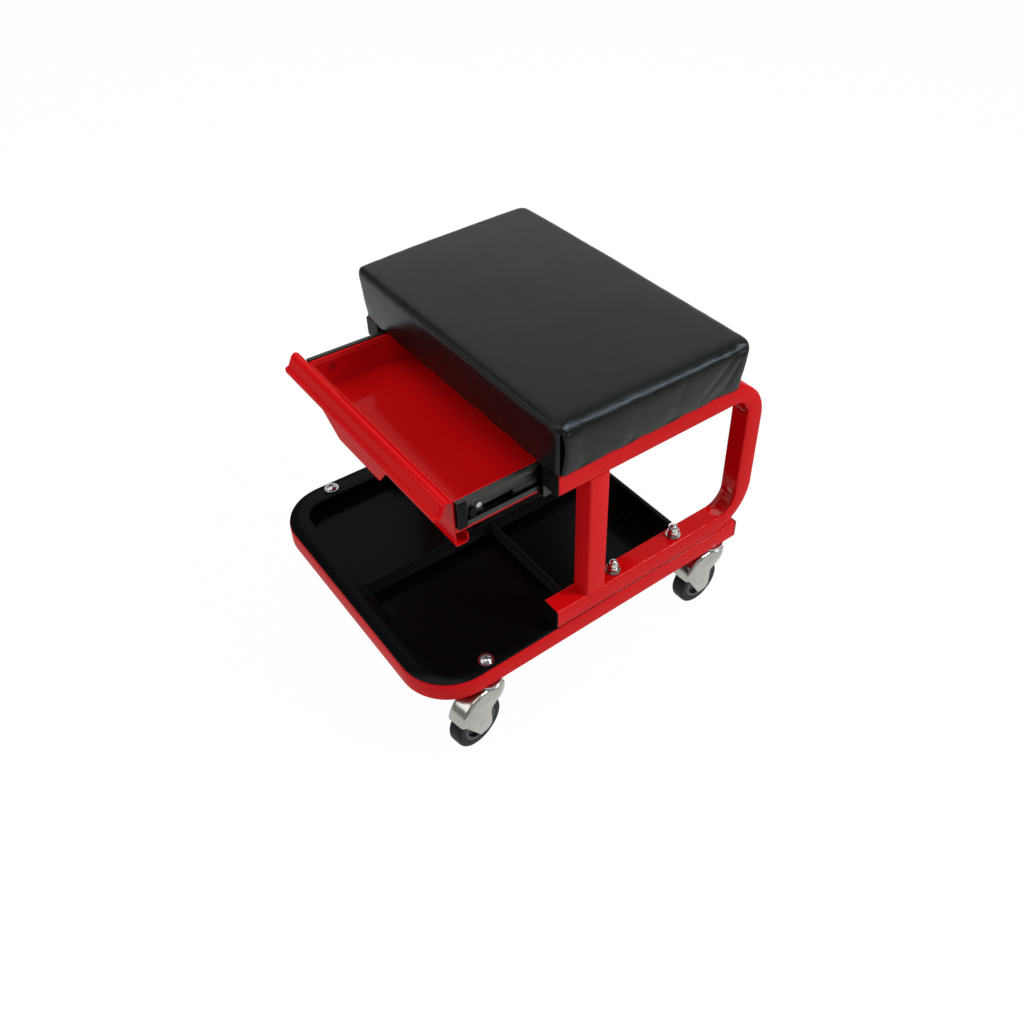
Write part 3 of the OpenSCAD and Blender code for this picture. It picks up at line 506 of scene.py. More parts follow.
def mark_pressed(tube):
    """Marks the vertices of a side tube that lie in the hollows of its bends."""
    pressed = tube.data.attributes.new("pressed", "FLOAT", "POINT")
    back = SIDE_BACK - TUBE - BEND_IN_R
    near, far = GLOSS_DEPTHS
    for v in tube.data.vertices:
        x, y, z = drawn(v.co)
        rise = max(LOW_TOP + BEND_IN_R - z, z - SIDE_TOP + TUBE + BEND_IN_R)
        in_bend = y > back - GLOSS_PAST and rise > -GLOSS_PAST
        inside = in_bend and near < math.hypot(y - back, rise) - BEND_IN_R < far
        pressed.data[v.index].value = 1.0 if inside and abs(abs(x) - TUBE_X) < GLOSS_HALF else 0.0


def side_frames():
    for s, side in ((-1, "l"), (1, "r")):
        low, high = sorted((s * INNER, s * HALF))
        rings = [tube_section(o, i, low, high, way, "yz") for o, i, way in side_stations()]
        tube = finish_mesh(mesh_from([loft(rings)]), "side_tube_" + side)
        mark_pressed(tube)
        dress(tube, "side_frame_" + side)
        ring = closed_fillet(box_outline(low, high, POST_Y, POST_Y + TUBE), WALL_EDGE, 4)
        post = prism(ring, LOW_TOP, SIDE_TOP - TUBE, "z")
        dress(finish_mesh(mesh_from([post]), "post_tube_" + side), "post_" + side)


def weld_beads():
    """Rippled beads along the front and rear edges of both ends of each post."""
    parts = []
    steps, inset, root, taper = 46, 1.6, 0.8, 4
    for s in (-1, 1):
        for z, dz in ((LOW_TOP, 1), (SIDE_TOP - TUBE, -1)):
            for y, dy in ((POST_Y, -1), (POST_Y + TUBE, 1)):
                rings = []
                for k in range(steps + 1):
                    x = s * (INNER + inset + (TUBE - 2 * inset) * k / steps)
                    end = sin(pi * min(1, k / taper, (steps - k) / taper) / 2)
                    r = (2.5 + 0.35 * sin(k * 1.9) + 0.25 * sin(k * 0.7 + s)) * max(0.15, end)
                    ring = [(y - dy * root, z - dz * root)]
                    ring += [(y + dy * r * sin(a), z + dz * r * cos(a))
                             for a in np.linspace(-0.25, pi / 2 + 0.25, 7)]
                    rings.append([(x, p[0], p[1]) for p in ring])
                parts.append(loft(rings))
    dress(finish_mesh(mesh_from(parts), "weld_beads", 60), "post_welds")


def tube_plugs():
    """Moulded plugs: a softly rounded flange over each tube end and a block inside."""
    # half width, and where it starts and ends along the tube
    flange, plug = (TUBE / 2 - 0.05, 0, 1.5), (TUBE / 2 - 1.6, -8, 0)
    for name, node, ends in (
            ("rail_plugs", "base_caps", [(x, RAIL_L, TUBE / 2, 1) for x in (-TUBE_X, TUBE_X)]),
            ("side_plugs", "run_caps", [(x, SIDE_Y, z, -1) for x in (-TUBE_X, TUBE_X)
                                        for z in (FLANGE_Z + TUBE / 2, SIDE_TOP - TUBE / 2)])):
        parts = []
        for x, y, z, d in ends:
            for size, a, b in (flange, plug):
                ring = closed_fillet(box_outline(x - size, x + size, z - size, z + size), 2.0, 4)
                parts.append(prism(ring, y + d * a, y + d * b, "y"))
        bm = mesh_from(parts, merge=None)
        bevel_edges(bm, 0.5, 60)
        dress(finish_mesh(bm, name), node)


# Tray
def u_loop(half, y0, r, y1):
    """Open U from the right rear end round the front to the left rear end."""
    right = [(half, y1), (half, y1 - 60), (half, (y1 + y0 + r) / 2)]
    right += arc(half - r, y0 + r, r, 0, -90, 14)
    return right + [(0.0, y0)] + [(-x, y) for x, y in reversed(right)]


def tray():
    """Pressed pan with its flange on the rail, two rear tabs and a tall rear wall."""
    top, floor, lip_r, foot_r = FLANGE_Z, TRAY_FLOOR, 2.2, 3.0
    flange_x, flange_y, flange_r = 188.3, 0.7, 60.3
    pan_r = 25.8
    tab_x, tab_y, tab_edge = 187.7, 388, 1.5
    wall_x, wall_top, wall_foot, wall_lip = 159.6, 53.4, 8, 6
    rings = []
    for off, z in ((0.0, top - 1.2), (0.15, top - 0.35), (0.6, top)):
        loop = u_loop(flange_x - off, flange_y + off, flange_r - off, TRAY_BACK)
        rings.append([(x, y, z) for x, y in loop])
    quarter = [pi / 2 * k / 5 for k in range(6)]
    levels = [(lip_r * (1 - sin(a)), top - lip_r * (1 - cos(a))) for a in quarter]
    levels += [(-foot_r * (1 - cos(a)), floor + foot_r * (1 - sin(a))) for a in quarter]
    for off, z in levels:
        loop = u_loop(TRAY_X + off, TRAY_FRONT - off, pan_r + off, TRAY_BACK)
        rings.append([(x, y, z) for x, y in loop])
    points, faces = loft(rings, closed=False, caps=False)
    n = len(rings[0])
    faces.append(tuple((len(rings) - 1) * n + j for j in range(n)))
    tabs = []
    for s in (-1, 1):
        x0, x1 = s * (TRAY_X + lip_r), s * tab_x
        tabs.append(([(x0, TRAY_BACK, top), (x1, TRAY_BACK, top), (x1, tab_y - tab_edge, top),
                      (x1 - s * tab_edge, tab_y, top), (x0, tab_y, top)], [(0, 1, 2, 3, 4)]))
    back = fillet([(TRAY_BACK - wall_foot, floor), (TRAY_BACK, floor), (TRAY_BACK, wall_top),
                   (TRAY_BACK + wall_lip, wall_top)], [0, foot_r, 2.0, 0], 5)
    rows = [[(x, y, z) for y, z in back] for x in np.linspace(-wall_x, wall_x, 9)]
    wall = loft(rows, closed=False, caps=False)
    obj = finish_mesh(mesh_from([(points, faces)] + tabs + [wall], merge=1e-6), "tray_pan")
    solidify(obj, 1.5)
    modified(obj, SHARP)
    dress(obj, "tray")


def divider(name, node, spans, along):
    """Doubled strips of sheet with a rolled upper edge."""
    t, top = 1.25, TRAY_FLOOR + 20.0
    parts = []
    for centre, a, b in spans:
        outline = [(centre - t, TRAY_FLOOR), (centre - t, top - t)]
        outline += arc(centre, top - t, t, 180, 0, 8)[1:]
        outline += [(centre + t, TRAY_FLOOR)]
        parts.append(prism(outline, a, b, along))
    dress(finish_mesh(mesh_from(parts, merge=None), name), node)


# Drawer
def pull_profile():
    """Path of the drawer front's sheet in y and z: foot, panel, ridge, slope and lip."""
    y, z, r, turn, slope = PANEL_Y, PANEL_TOP, 6.5, 153, 11.5
    path = fillet([(y + 13, PANEL_LOW + 10), (y + 13, PANEL_LOW), (y, PANEL_LOW), (y, z - 4)],
                  [0, 2.0, 2.0, 0], 5)
    path += [(y - r + px, z + pz) for px, pz in arc(0, 0, r, 0, turn, 24)]
    a = radians(turn)
    foot = (path[-1][0] - slope * sin(a), path[-1][1] + slope * cos(a))
    corners = [path[-1], foot, (LIP_Y, foot[1] - 0.6), (LIP_Y, LIP_TOP)]
    path += fillet(corners, [0, 3.0, 1.4, 0], 6)[1:]
    return path


def tab_drop(x):
    """How far the sheet reaches below the lip's bend at x: its end corners and the finger tab."""
    (a, b), (c, d) = TAB_TOP, TAB_LOW
    end_r = 3.0
    left, right = PULL_LEFT, PULL_RIGHT
    line = [(left, -1.0)] + [(left + end_r - end_r * cos(t), LIP_DROP - end_r + end_r * sin(t))
                             for t in np.linspace(0.25, pi / 2, 7)]
    low = TAB_H + LIP_DROP
    line += fillet([(left + end_r + 1, LIP_DROP), (a, LIP_DROP), (c, low), (d, low), (b, LIP_DROP),
                    (right - end_r - 1, LIP_DROP)], [0, 5, 7.5, 7.5, 3, 0], 8)
    line += [(right - end_r + end_r * cos(t), LIP_DROP - end_r + end_r * sin(t))
             for t in np.linspace(pi / 2, 0.25, 7)] + [(right, -1.0)]
    xs, ys = zip(*line)
    return max(0.0, float(np.interp(x, xs, ys)))


def drawer_front():
    """Front panel with its rolled pull, whose ends are rounded in plan."""
    path = pull_profile()
    end, near = 6, 3.5
    spans = ((PULL_LEFT, PULL_LEFT + end, 9), (PULL_LEFT + end, PULL_RIGHT - end, 60),
             (PULL_RIGHT - end, PULL_RIGHT, 9), (TAB_TOP[0] - 4, TAB_LOW[0] + 8, 30),
             (TAB_LOW[1] - 8, TAB_TOP[1] + 4, 26))
    xs = sorted(set(np.round(np.concatenate([np.linspace(*span) for span in spans]), 3)))
    outline = thick(path, SHEET)
    m = len(path)
    (y0, z0), (y1, z1) = path[-1], outline[m]
    rings = []
    rows = 7
    for x in xs:
        drop = tab_drop(x)
        cut = min(x - PULL_LEFT, PULL_RIGHT - x)
        shift = near - math.sqrt(max(0.0, near ** 2 - (near - cut) ** 2)) if cut < near else 0.0
        front = [(y0, z0 - drop * k / rows) for k in range(1, rows + 1)]
        back = [(y1, z1 - drop * k / rows) for k in range(rows, 0, -1)]
        ring = []
        for y, z in path + front + back + outline[m:]:
            pull = z > PANEL_TOP - 16 - TAB_H
            share = max(0.0, min(1.0, (PANEL_Y - 4 - y) / 12)) if pull else 0.0
            ring.append((x, y + shift * share, z))
        rings.append(ring)
    bm = mesh_from([loft(rings)])
    bevel_edges(bm, 0.3, 60)
    dress(finish_mesh(bm, "drawer_face"), "drawer_front")


def drawer_box():
    """Folded floor and side walls with hems, and the front and rear walls between them."""
    x, y0, y1 = DRAWER_X, PANEL_Y + SHEET, PANEL_Y + SHEET + DRAWER_L
    z0, z1 = 199.8, 242.8
    hem, gap = 7.0, 1.6
    side = [(x - SHEET - gap, z1 - hem), (x - SHEET - gap, z1), (x, z1), (x, z0), (0.0, z0)]
    half = fillet(side, [0, 1.2, 1.2, 3.0, 0], 6)
    path = half[:-1] + [(-px, pz) for px, pz in reversed(half[:-1])]
    parts = [prism(thick(path, -SHEET), y0 + 0.05, y1, "y")]
    inside = x - SHEET
    for y, top in ((y0, PANEL_TOP), (y1 - SHEET, z1)):
        ring = closed_fillet(box_outline(-inside, inside, z0 + SHEET, top), 1.0, 3)
        parts.append(prism(ring, y, y + SHEET, "y"))
    bm = mesh_from(parts, merge=None)
    dress(finish_mesh(bm, "drawer_shell"), "drawer_box", "drawer_ends")


# Small parts
def soften(node, width):
    """Bevelled copy of a CAD node, with its flat faces joined first."""
    bm = bmesh.new()
    bm.from_mesh(frame["nodes"][node].data)
    bmesh.ops.remove_doubles(bm, verts=bm.verts, dist=2e-6)
    bmesh.ops.dissolve_limit(bm, angle_limit=radians(0.5), verts=bm.verts, edges=bm.edges)
    bevel_edges(bm, width, 30)
    dress(finish_mesh(bm, node + "_soft", 30), node)


def slot_shade_strips():
    """Near-black strips of painted shade behind the long slots of the drawer members."""
    y, length, high, below = PANEL_Y + 32.5, 38.5, 8.0, 6.5
    for s, side in ((-1, "l"), (1, "r")):
        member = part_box("slide_drawer_" + side)
        z = ((member[0].z + member[1].z) / 2 - Z0) / MM - below
        low, top = sorted((s * (DRAWER_X + 0.1), s * (DRAWER_X + 0.7)))
        ring = closed_fillet(box_outline(y, y + length, z - high / 2, z + high / 2), 3.2, 6)
        # painted shade: a near-black strip that darkens the slot
        slot_shade = finish_mesh(mesh_from([prism(ring, low, top)]), "slot_shade_strip_" + side)
        add_on(slot_shade, "painted_shade", "drawer")


# Casters
def caster(c):
    """How a caster stands: the turn out of its own frame, and the axle's trail and drop in mm."""
    swivel, roll = JOINTS["swivel_" + c], JOINTS["roll_" + c]
    axis = Vector(roll["axis"])
    angle = math.atan2(axis.y, axis.x)
    turn = Matrix.Translation(Vector(swivel["pos_m"])) @ Matrix.Rotation(angle, 4, "Z")
    back = turn.inverted() @ Vector(roll["pos_m"])
    return turn, -back.y / MM, -back.z / MM


def fork_skin(trail, drop):
    """The pressed fork without its thickness: a hood with rounded edges, and both legs."""
    r_hood, edge = 34.5, 4.5
    hy, hz = 5.5 - trail, CROWN_Z - r_hood
    ridge = [(11.0, CROWN_Z)] + [(hy + r_hood * cos(a), hz + r_hood * sin(a))
                                for a in np.radians(np.linspace(90, 170, 24))]
    back, front, low = 13.9 - trail, -3.5 - trail, -drop - 14.2
    crown = arc(-3, CROWN_Z - 11, 16, -75, 0, 10)
    lower = fillet([ridge[-1], (front, low), (back, low), (back, 15 - drop), crown[0]],
                   [0, 4.5, 7.5, 4, 0], 8)
    lower = lower[:-1] + crown + [(13.0, CROWN_Z - edge)]
    d = np.gradient(np.array(ridge), axis=0)
    d /= np.linalg.norm(d, axis=1)[:, None]
    inward = np.stack([-d[:, 1], d[:, 0]], 1)
    rows = []
    for (y, z), nrm in zip(ridge, inward):
        row = []
        for k in range(7):
            a = pi / 2 * k / 6
            row.append((FORK_OUT - edge + edge * cos(a), y + nrm[0] * edge * (1 - sin(a)),
                        z + nrm[1] * edge * (1 - sin(a))))
        row += [(x, y, z) for x in np.linspace(FORK_OUT - edge, 0, 4)[1:]]
        rows.append(row + [(-a, b, e) for a, b, e in reversed(row[:-1])])
    leg = [(y + nrm[0] * edge, z + nrm[1] * edge) for (y, z), nrm in zip(ridge, inward)] + lower[1:]
    legs = [([(s * FORK_OUT, y, z) for y, z in leg], [tuple(range(len(leg)))]) for s in (-1, 1)]
    return [loft(rows, closed=False, caps=False)] + legs


def caster_pieces(c):
    """Fork with its crown, stem with its cup, axle, tyre and wheel core of one caster."""
    turn, trail, drop = caster(c)
    hub, upright, across = (0, -trail, -drop), (0, 0, 1), (1, 0, 0)

    def at(p):
        return turn @ (Vector(p) * MM)

    def turned(name, profiles, centre, axis, n, smooth=SHARP):
        parts = [revolve(p, centre, axis, n) for p in profiles]
        return finish_mesh(mesh_from(parts, at=at), name, smooth)

    fork = finish_mesh(mesh_from(fork_skin(trail, drop), 2e-6, at), "fork_" + c)
    solidify(fork, FORK_T)
    bevel = fork.modifiers.new("edge", "BEVEL")
    bevel.width = 0.4 * MM
    bevel.segments = 2
    bevel.limit_method = "ANGLE"
    bevel.angle_limit = radians(50)
    modified(fork, SHARP)
    dress(fork, "caster_fork_" + c)
    drum = closed_fillet([(6.4, CROWN_Z), (16.2, CROWN_Z), (18.2, CROWN_Z - 8),
                          (17.6, CROWN_Z - 13.5), (15.4, CROWN_Z - 13.5),
                          (14.8, CROWN_Z - 2.5), (6.4, CROWN_Z - 2.5)],
                         [0.3, 2.2, 4.0, 0.8, 0.8, 1.5, 0.3], 5)
    crown = turned("fork_crown_" + c, [drum], (0, 0, 0), upright, 72)
    add_on(crown, "fork_zinc", BODY_OF["caster_fork_" + c])

    # a front stem ends under the rail's top wall, a rear one in the nut inside the rail
    top = TUBE - 1.55 if c[0] == "f" else 12.5
    cup = closed_fillet([(6, 0), (16.3, 0), (16.5, -4), (6, -4)], [0.2, 0.5, 2.4, 0.2], 5)
    stem = closed_fillet([(0.01, top), (6, top), (6, -9.6), (0.01, -9.6)], [0, 0.6, 0, 0], 3)
    head = closed_fillet([(5.9, -7.1), (9, -7.1), (9, -9.6), (5.9, -9.6)], [0, 0.5, 0.8, 0], 3)
    dress(turned("stem_cup_" + c, (cup, stem, head), (0, 0, 0), upright, 64), "caster_stem_" + c)

    out = FORK_OUT
    end = [(4, out), (5, out), (5, out + 0.1), (3.2, out + 0.8), (0.01, out + 0.8)]
    axle = closed_fillet([(a, -t) for a, t in reversed(end)] + end, 0.05, 2)
    dress(turned("axle_rivet_" + c, [axle], hub, across, 40), "caster_axle_" + c)

    half, r, core = 9.25, 31.75, 22.0
    tyre = closed_fillet([(core, -half), (r - 0.6, -half), (r, -half + 4), (r, half - 4),
                          (r - 0.6, half), (core, half)], [0.4, 3.2, 2.5, 2.5, 3.2, 0.4], 6)
    dress(turned("tyre_" + c, [tyre], hub, across, 96, 50), "caster_tyre_" + c)
    bush = 10.45
    side = [(4.05, bush), (8.3, bush), (8.5, bush - 0.4), (9.5, 4.6), (17.6, 4.2),
            (18.6, half - 0.4), (19.0, half), (core, half)]
    wheel = closed_fillet(side + [(a, -t) for a, t in reversed(side)], 0.3, 3)
    dress(turned("wheel_core_" + c, [wheel], hub, across, 96), "caster_core_" + c)


# Cushion
def spread(low, high, fine, coarse, reach):
    """Places from low to high that lie closer together within reach of both ends."""
    out, t = [low], low
    while t < high - 1e-6:
        near = min(t - low, high - t)
        t += fine + (coarse - fine) * min(1.0, near / reach)
        out.append(t)
    k = (high - low) / (out[-1] - low)
    return [low + (v - low) * k for v in out]


def plan_inset(px, py, hx, hy, r):
    """Distance inside a rounded rectangle's outline, and the outward direction there."""
    qx, qy = abs(px) - (hx - r), abs(py) - (hy - r)
    if qx > 0 and qy > 0:
        d = math.hypot(qx, qy)
        return r - d, math.copysign(qx / d, px), math.copysign(qy / d, py)
    if qx > qy:
        return hx - abs(px), math.copysign(1, px), 0.0
    return hy - abs(py), 0.0, math.copysign(1, py)


def seat_point(x, y, z):
    """Point of the plain box moved to the padded form: rounded edges, crown, full sides and
    drawn-in foot."""
    hx, hy, h = SEAT_X, SEAT_HY, SEAT_H
    px, py, pz, r = x, y - SEAT_CY, z - SEAT_Z, SEAT_RIM_R
    # the right rim is softer than the others
    r += 6.5 * min(1.0, max(0.0, 0.5 + (hy - abs(py) - hx + px) / 20))
    inset, nx, ny = plan_inset(px, py, hx, hy, SEAT_SIDE_R)
    if inset < 0:
        px, py, inset = px + nx * inset, py + ny * inset, 0.0
    up = pz - (h - r)
    if inset < r and up > 0:
        n = math.hypot(r - inset, up)
        new_inset, pz = r - r * (r - inset) / n, h - r + r * up / n
        px, py = px - nx * (new_inset - inset), py - ny * (new_inset - inset)
    t = min(1.0, max(0.0, pz / h))
    ux, uy = px / hx, py / hy
    full = float(np.interp(t, [0, 0.05, 0.18, 0.4, 0.65, 0.82, 0.93, 1],
                           [0.45, 0.5, 0.68, 0.88, 1, 1, 0.96, 0.9]))
    edge = max(0.0, 1 - inset / 24)
    mid_x, mid_y = 1 - abs(ux) ** 4, 1 - abs(uy) ** 4
    px += nx * edge * full * (4.6 + 1.8 * mid_y)
    py += ny * edge * full * ((5.2 if ny > 0 else 2.6) + 1.4 * mid_x)
    pz += t ** 5 * 4.4 * max(0.0, 1 - ux * ux) ** 0.6 * max(0.0, 1 - uy * uy) ** 0.6
    # the left end is stuffed fuller than the right, most of all at the rear
    left = (1 - ux) / 2 * t * t
    share = left * (1 + uy) / 2
    right = (1 + ux) / 2 * (1 + uy) / 2 * t
    return (px - 6.0 * left - 9.0 * share + 3.0 * right, py + SEAT_CY - 6.0 * share + 3.0 * right,
            pz + SEAT_Z + 2.0 * left + 6.0 * share)


def seat_grid():
    """Closed quad mesh of the cushion: top, four sides and bottom, with shared edges."""
    xs = spread(-SEAT_X, SEAT_X, 1.6, 5.2, 16)
    ys = spread(SEAT_Y0, SEAT_Y1, 1.6, 5.2, 16)
    zs = spread(SEAT_Z, SEAT_Z + SEAT_H, 2.0, 4.6, 14)
    bm = bmesh.new()
    seen = {}

    def vert(x, y, z):
        key = (round(x, 4), round(y, 4), round(z, 4))
        if key not in seen:
            seen[key] = bm.verts.new(place(seat_point(x, y, z)))
        return seen[key]

    def patch(at, us, vs):
        for i in range(len(us) - 1):
            for j in range(len(vs) - 1):
                bm.faces.new([vert(*at(us[i], vs[j])), vert(*at(us[i + 1], vs[j])),
                              vert(*at(us[i + 1], vs[j + 1])), vert(*at(us[i], vs[j + 1]))])
    for z in (zs[0], zs[-1]):
        patch(lambda u, v: (u, v, z), xs, ys)
    for y in (ys[0], ys[-1]):
        patch(lambda u, v: (u, y, v), xs, zs)
    for x in (xs[0], xs[-1]):
        patch(lambda u, v: (x, u, v), ys, zs)
    return bm


def inflate(obj, pressure=2.6, cap=6.0):
    """Cloth simulation of the cover under pressure. It is pinned along its stapled foot, and the
    foam's edges hold the rims. No point moves further than the cap, in mm."""
    rest = [v.co.copy() for v in obj.data.vertices]
    pin = obj.vertex_groups.new(name="pin")
    for v in obj.data.vertices:
        x, y, z = drawn(v.co)
        y, z = y - SEAT_CY, z - SEAT_Z
        in_x, in_y = SEAT_X - abs(x), SEAT_HY - abs(y)
        rim = math.exp(-((max(0.0, min(in_x, in_y)) / 16) ** 2 + ((SEAT_H - z) / 16) ** 2))
        corner = math.exp(-((in_x / 14) ** 2 + (in_y / 14) ** 2))
        hold = 1.0 if z < 2.5 else min(0.98, 0.25 + 0.75 * rim + 0.6 * corner)
        pin.add([v.index], hold, "REPLACE")
    cloth = obj.modifiers.new("cover", "CLOTH")
    st = cloth.settings
    st.quality = 6
    st.mass = 0.4
    st.tension_stiffness = st.compression_stiffness = 18
    st.shear_stiffness = 8
    st.bending_stiffness = 2.0
    st.use_pressure = True
    st.uniform_pressure_force = pressure
    st.effector_weights.gravity = 0
    st.vertex_group_mass = "pin"
    st.pin_stiffness = 1.0
    cloth.collision_settings.use_collision = False
    cloth.collision_settings.use_self_collision = False
    scene = bpy.context.scene
    last = 20
    scene.frame_start, scene.frame_end = 1, last
    cloth.point_cache.frame_start, cloth.point_cache.frame_end = 1, last
    for f in range(1, last + 1):
        scene.frame_set(f)
    modified(obj)
    obj.vertex_groups.clear()
    scene.frame_set(1)
    for v, r in zip(obj.data.vertices, rest):
        d = v.co - r
        if d.length > cap * MM:
            v.co = r + d.normalized() * cap * MM


def crease(p, a, b, width, depth):
    """Depth of a long soft groove from a to b in one face's plane, in mm."""
    ends = 12.0
    ax, ay, bx, by = *a, *b
    dx, dy = bx - ax, by - ay
    length = math.hypot(dx, dy)
    t = ((p[0] - ax) * dx + (p[1] - ay) * dy) / length
    s = ((p[0] - ax) * -dy + (p[1] - ay) * dx) / length
    if t < -ends or t > length + ends:
        return 0.0
    fade = min(1.0, (t + ends) / ends / 2, (length + ends - t) / ends / 2)
    return depth * math.exp(-(s / width) ** 2) * fade


# Drag creases of the left and right sides and of the two long ones, as start, end, width and
# depth. The ends are shares of the side's half length and of its height
SIDE_CREASES = (((-0.80, 0.84), (-0.42, 0.2), 4.5, -0.8), ((-0.88, 0.7), (-0.60, 0.12), 3.4, -0.6),
                ((-0.30, 0.86), (-0.12, 0.25), 6.0, -0.5), ((0.84, 0.85), (0.52, 0.2), 4.4, -0.8),
                ((0.93, 0.8), (0.78, 0.18), 3.6, -0.8), ((0.28, 0.88), (0.2, 0.4), 6.5, -0.4))
LONG_CREASES = (((0.9, 0.82), (0.74, 0.15), 3.2, -0.6), ((0.2, 0.9), (0.32, 0.3), 6.0, -0.4))


def creases(along, t, half, table):
    """Depth of one face's creases together at a place along it and a share of its height."""
    here = (along * half, t * SEAT_H)
    return sum(crease(here, (a * half, b * SEAT_H), (c * half, d * SEAT_H), width, depth)
               for (a, b), (c, d), width, depth in table)


def wander(x, y, z):
    return noise.noise(Vector((x, y, z)))


def seat_details(obj):
    """Fine forms of the stretched vinyl: puckers along the rims, drag creases and small waves at
    the staples."""
    me = obj.data
    normals = [v.normal.copy() for v in me.vertices]
    for v, n in zip(me.vertices, normals):
        x, y, z = drawn(v.co)
        u, w, t = x / SEAT_X, (y - SEAT_CY) / SEAT_HY, (z - SEAT_Z) / SEAT_H
        if t < 0.03:
            continue
        # broad unevenness of the foam
        move = 0.5 * wander(x / 80, y / 80, z / 60)
        # puckers that cross the top rim, where the cover is pulled down, and gathers above the
        # staples along the foot
        rim = math.exp(-((t - 0.9) / 0.14) ** 2)
        foot = math.exp(-((t - 0.1) / 0.16) ** 2)
        if abs(u) > 0.9:
            k = sin(y / 4.1 + 2.2 * wander(y / 30, u, 3.1))
            move += 0.22 * rim * k * (0.4 + 0.6 * max(0.0, wander(y / 45, u * 2, 1.7) + 0.4))
            move -= 0.9 * foot * max(0.0, sin(y / 9.5 + 1.3 * wander(y / 40, u, 5.0))) ** 2
        if abs(w) > 0.9:
            move += 0.12 * rim * sin(x / 4.6 + 2.0 * wander(x / 30, w, 8.1))
            move -= 0.8 * foot * max(0.0, sin(x / 10.5 + 1.3 * wander(x / 40, w, 6.0))) ** 2
        # drag creases that fan out from the corners over the sides
        if abs(u) > 0.93:
            move += creases(w, t, SEAT_HY, SIDE_CREASES)
        if abs(w) > 0.93:
            move += creases(u, t, SEAT_X, LONG_CREASES)
        # shallow pull lines over the top
        if t > 0.9:
            move += 0.25 * wander(x / 55 + y / 22, y / 90 - x / 260, 0.3)
        v.co += n * (move * MM)
    # the hem between the staples rises a little off the tubes
    hem, edge = 0.12, 3
    for v in me.vertices:
        x, y, z = drawn(v.co)
        t = (z - SEAT_Z) / SEAT_H
        if t < hem and min(SEAT_X - abs(x), SEAT_HY - abs(y - SEAT_CY)) < edge:
            wave = max(0.0, sin(x / 7.5 + y / 8.5 + 1.5 * wander(x / 35, y / 35, 2.0))) ** 1.5
            v.co.z += 1.7 * wave * (1 - t / hem) * MM


def shell(outer, inner, rows, cols):
    """Closed skin between two grids of points."""
    n, m = cols + 1, len(outer)
    faces = []
    for i in range(rows):
        for j in range(cols):
            quad = (i * n + j, i * n + j + 1, (i + 1) * n + j + 1, (i + 1) * n + j)
            faces += [quad, tuple(m + v for v in reversed(quad))]
    border = list(range(n)) + [i * n + cols for i in range(1, rows + 1)]
    border += [rows * n + j for j in range(cols - 1, -1, -1)]
    border += [i * n for i in range(rows - 1, 0, -1)]
    for v, w in zip(border, border[1:] + border[:1]):
        faces.append((w, v, m + v, m + w))
    return outer + inner, faces


def corner_folds(obj):
    """The cover's folds down its four corners. A layer of each left or right side ends in a rounded
    hem that bows away from the corner, and between the two lies a near-black strip of painted
    shade where the fold's gap is in shade. Both follow the finished surface. Returns both, in metres."""
    me = obj.data
    tree = BVHTree.FromPolygons([v.co for v in me.vertices], [p.vertices for p in me.polygons])
    r = SEAT_SIDE_R
    half = r * pi / 4
    outside = 25

    def surface(sx, sy, q, z):
        """Point and normal at the way q round a corner, towards the left or right side."""
        turn = max(-1.0, min(1.0, q / half)) * pi / 4
        nx, ny = sx * sin(turn + pi / 4), sy * cos(turn + pi / 4)
        past = q - max(-half, min(half, q))
        bx = sx * (SEAT_X - r) + nx * r + sx * min(0.0, past)
        by = sy * (SEAT_HY - r) + ny * r - sy * max(0.0, past)
        start = place((bx + nx * outside, SEAT_CY + by + ny * outside, z))
        hit = tree.ray_cast(start, Vector((-nx, -ny, 0)))
        if hit[0] is None:
            return start - Vector((nx, ny, 0)) * outside * MM, Vector((nx, ny, 0))
        return hit[0], hit[1]

    layers, shade_strips = [], []
    rows, cols, gap_cols = 36, 24, 4
    reach, hem_r, start = 42, 1.3, 0.6
    for sx, sy in ((-1, -1), (-1, 1), (1, -1), (1, 1)):
        fold, under, gap, deep = [], [], [], []
        for k in range(rows + 1):
            t = k / rows
            z = SEAT_Z + start + (SEAT_H - 8) * t
            bow = sin(pi * min(1.0, max(0.0, t * 0.98 + 0.02))) ** 0.75
            hem = 1.0 + 2.7 * bow * (0.55 + 0.6 * t)
            fade = min(1.0, (1 - t) * 9)
            for c in range(cols + 1):
                u = c / cols
                q = reach + (hem - reach) * u ** 0.7
                point, nrm = surface(sx, sy, q, z)
                rounded = math.sqrt(max(0.0, 1 - max(0.0, (hem + hem_r - q) / hem_r) ** 2))
                lift = (-0.4 + 2.2 * u * u * (3 - 2 * u)) * fade * rounded - 0.4 * (1 - fade)
                fold.append(point + nrm * lift * MM)
                under.append(point - nrm * 0.6 * MM)
            for c in range(gap_cols + 1):
                point, nrm = surface(sx, sy, start + (hem + 0.4 - start) * c / gap_cols, z)
                gap.append(point + nrm * (0.14 if 0 < k < rows else -0.1) * MM)
                deep.append(point - nrm * 0.5 * MM)
        layers.append(shell(fold, under, rows, cols))
        shade_strips.append(shell(gap, deep, rows, gap_cols))
    return layers, shade_strips


def cushion():
    """Padded seat: inflated cover, its fine forms, and the folds at its corners."""
    obj = finish_mesh(seat_grid(), "seat_cushion", 180)
    inflate(obj)
    sub = obj.modifiers.new("smooth", "SUBSURF")
    sub.levels = sub.render_levels = 1
    modified(obj)
    seat_details(obj)
    layers, shade_strips = corner_folds(obj)
    bm = mesh_from(layers, None, Vector)
    bmesh.ops.recalc_face_normals(bm, faces=bm.faces)
    bm.from_mesh(obj.data)
    bm.to_mesh(obj.data)
    bm.free()
    # near-black strips of painted shade in the gaps of the corner folds
    painted_fold_shade = finish_mesh(mesh_from(shade_strips, None, Vector), "fold_painted_shade", 60)
    add_on(painted_fold_shade, "painted_shade", BODY_OF["cushion"])
    all_smooth(obj.data)
    obj.data.update()
    dress(obj, "cushion")


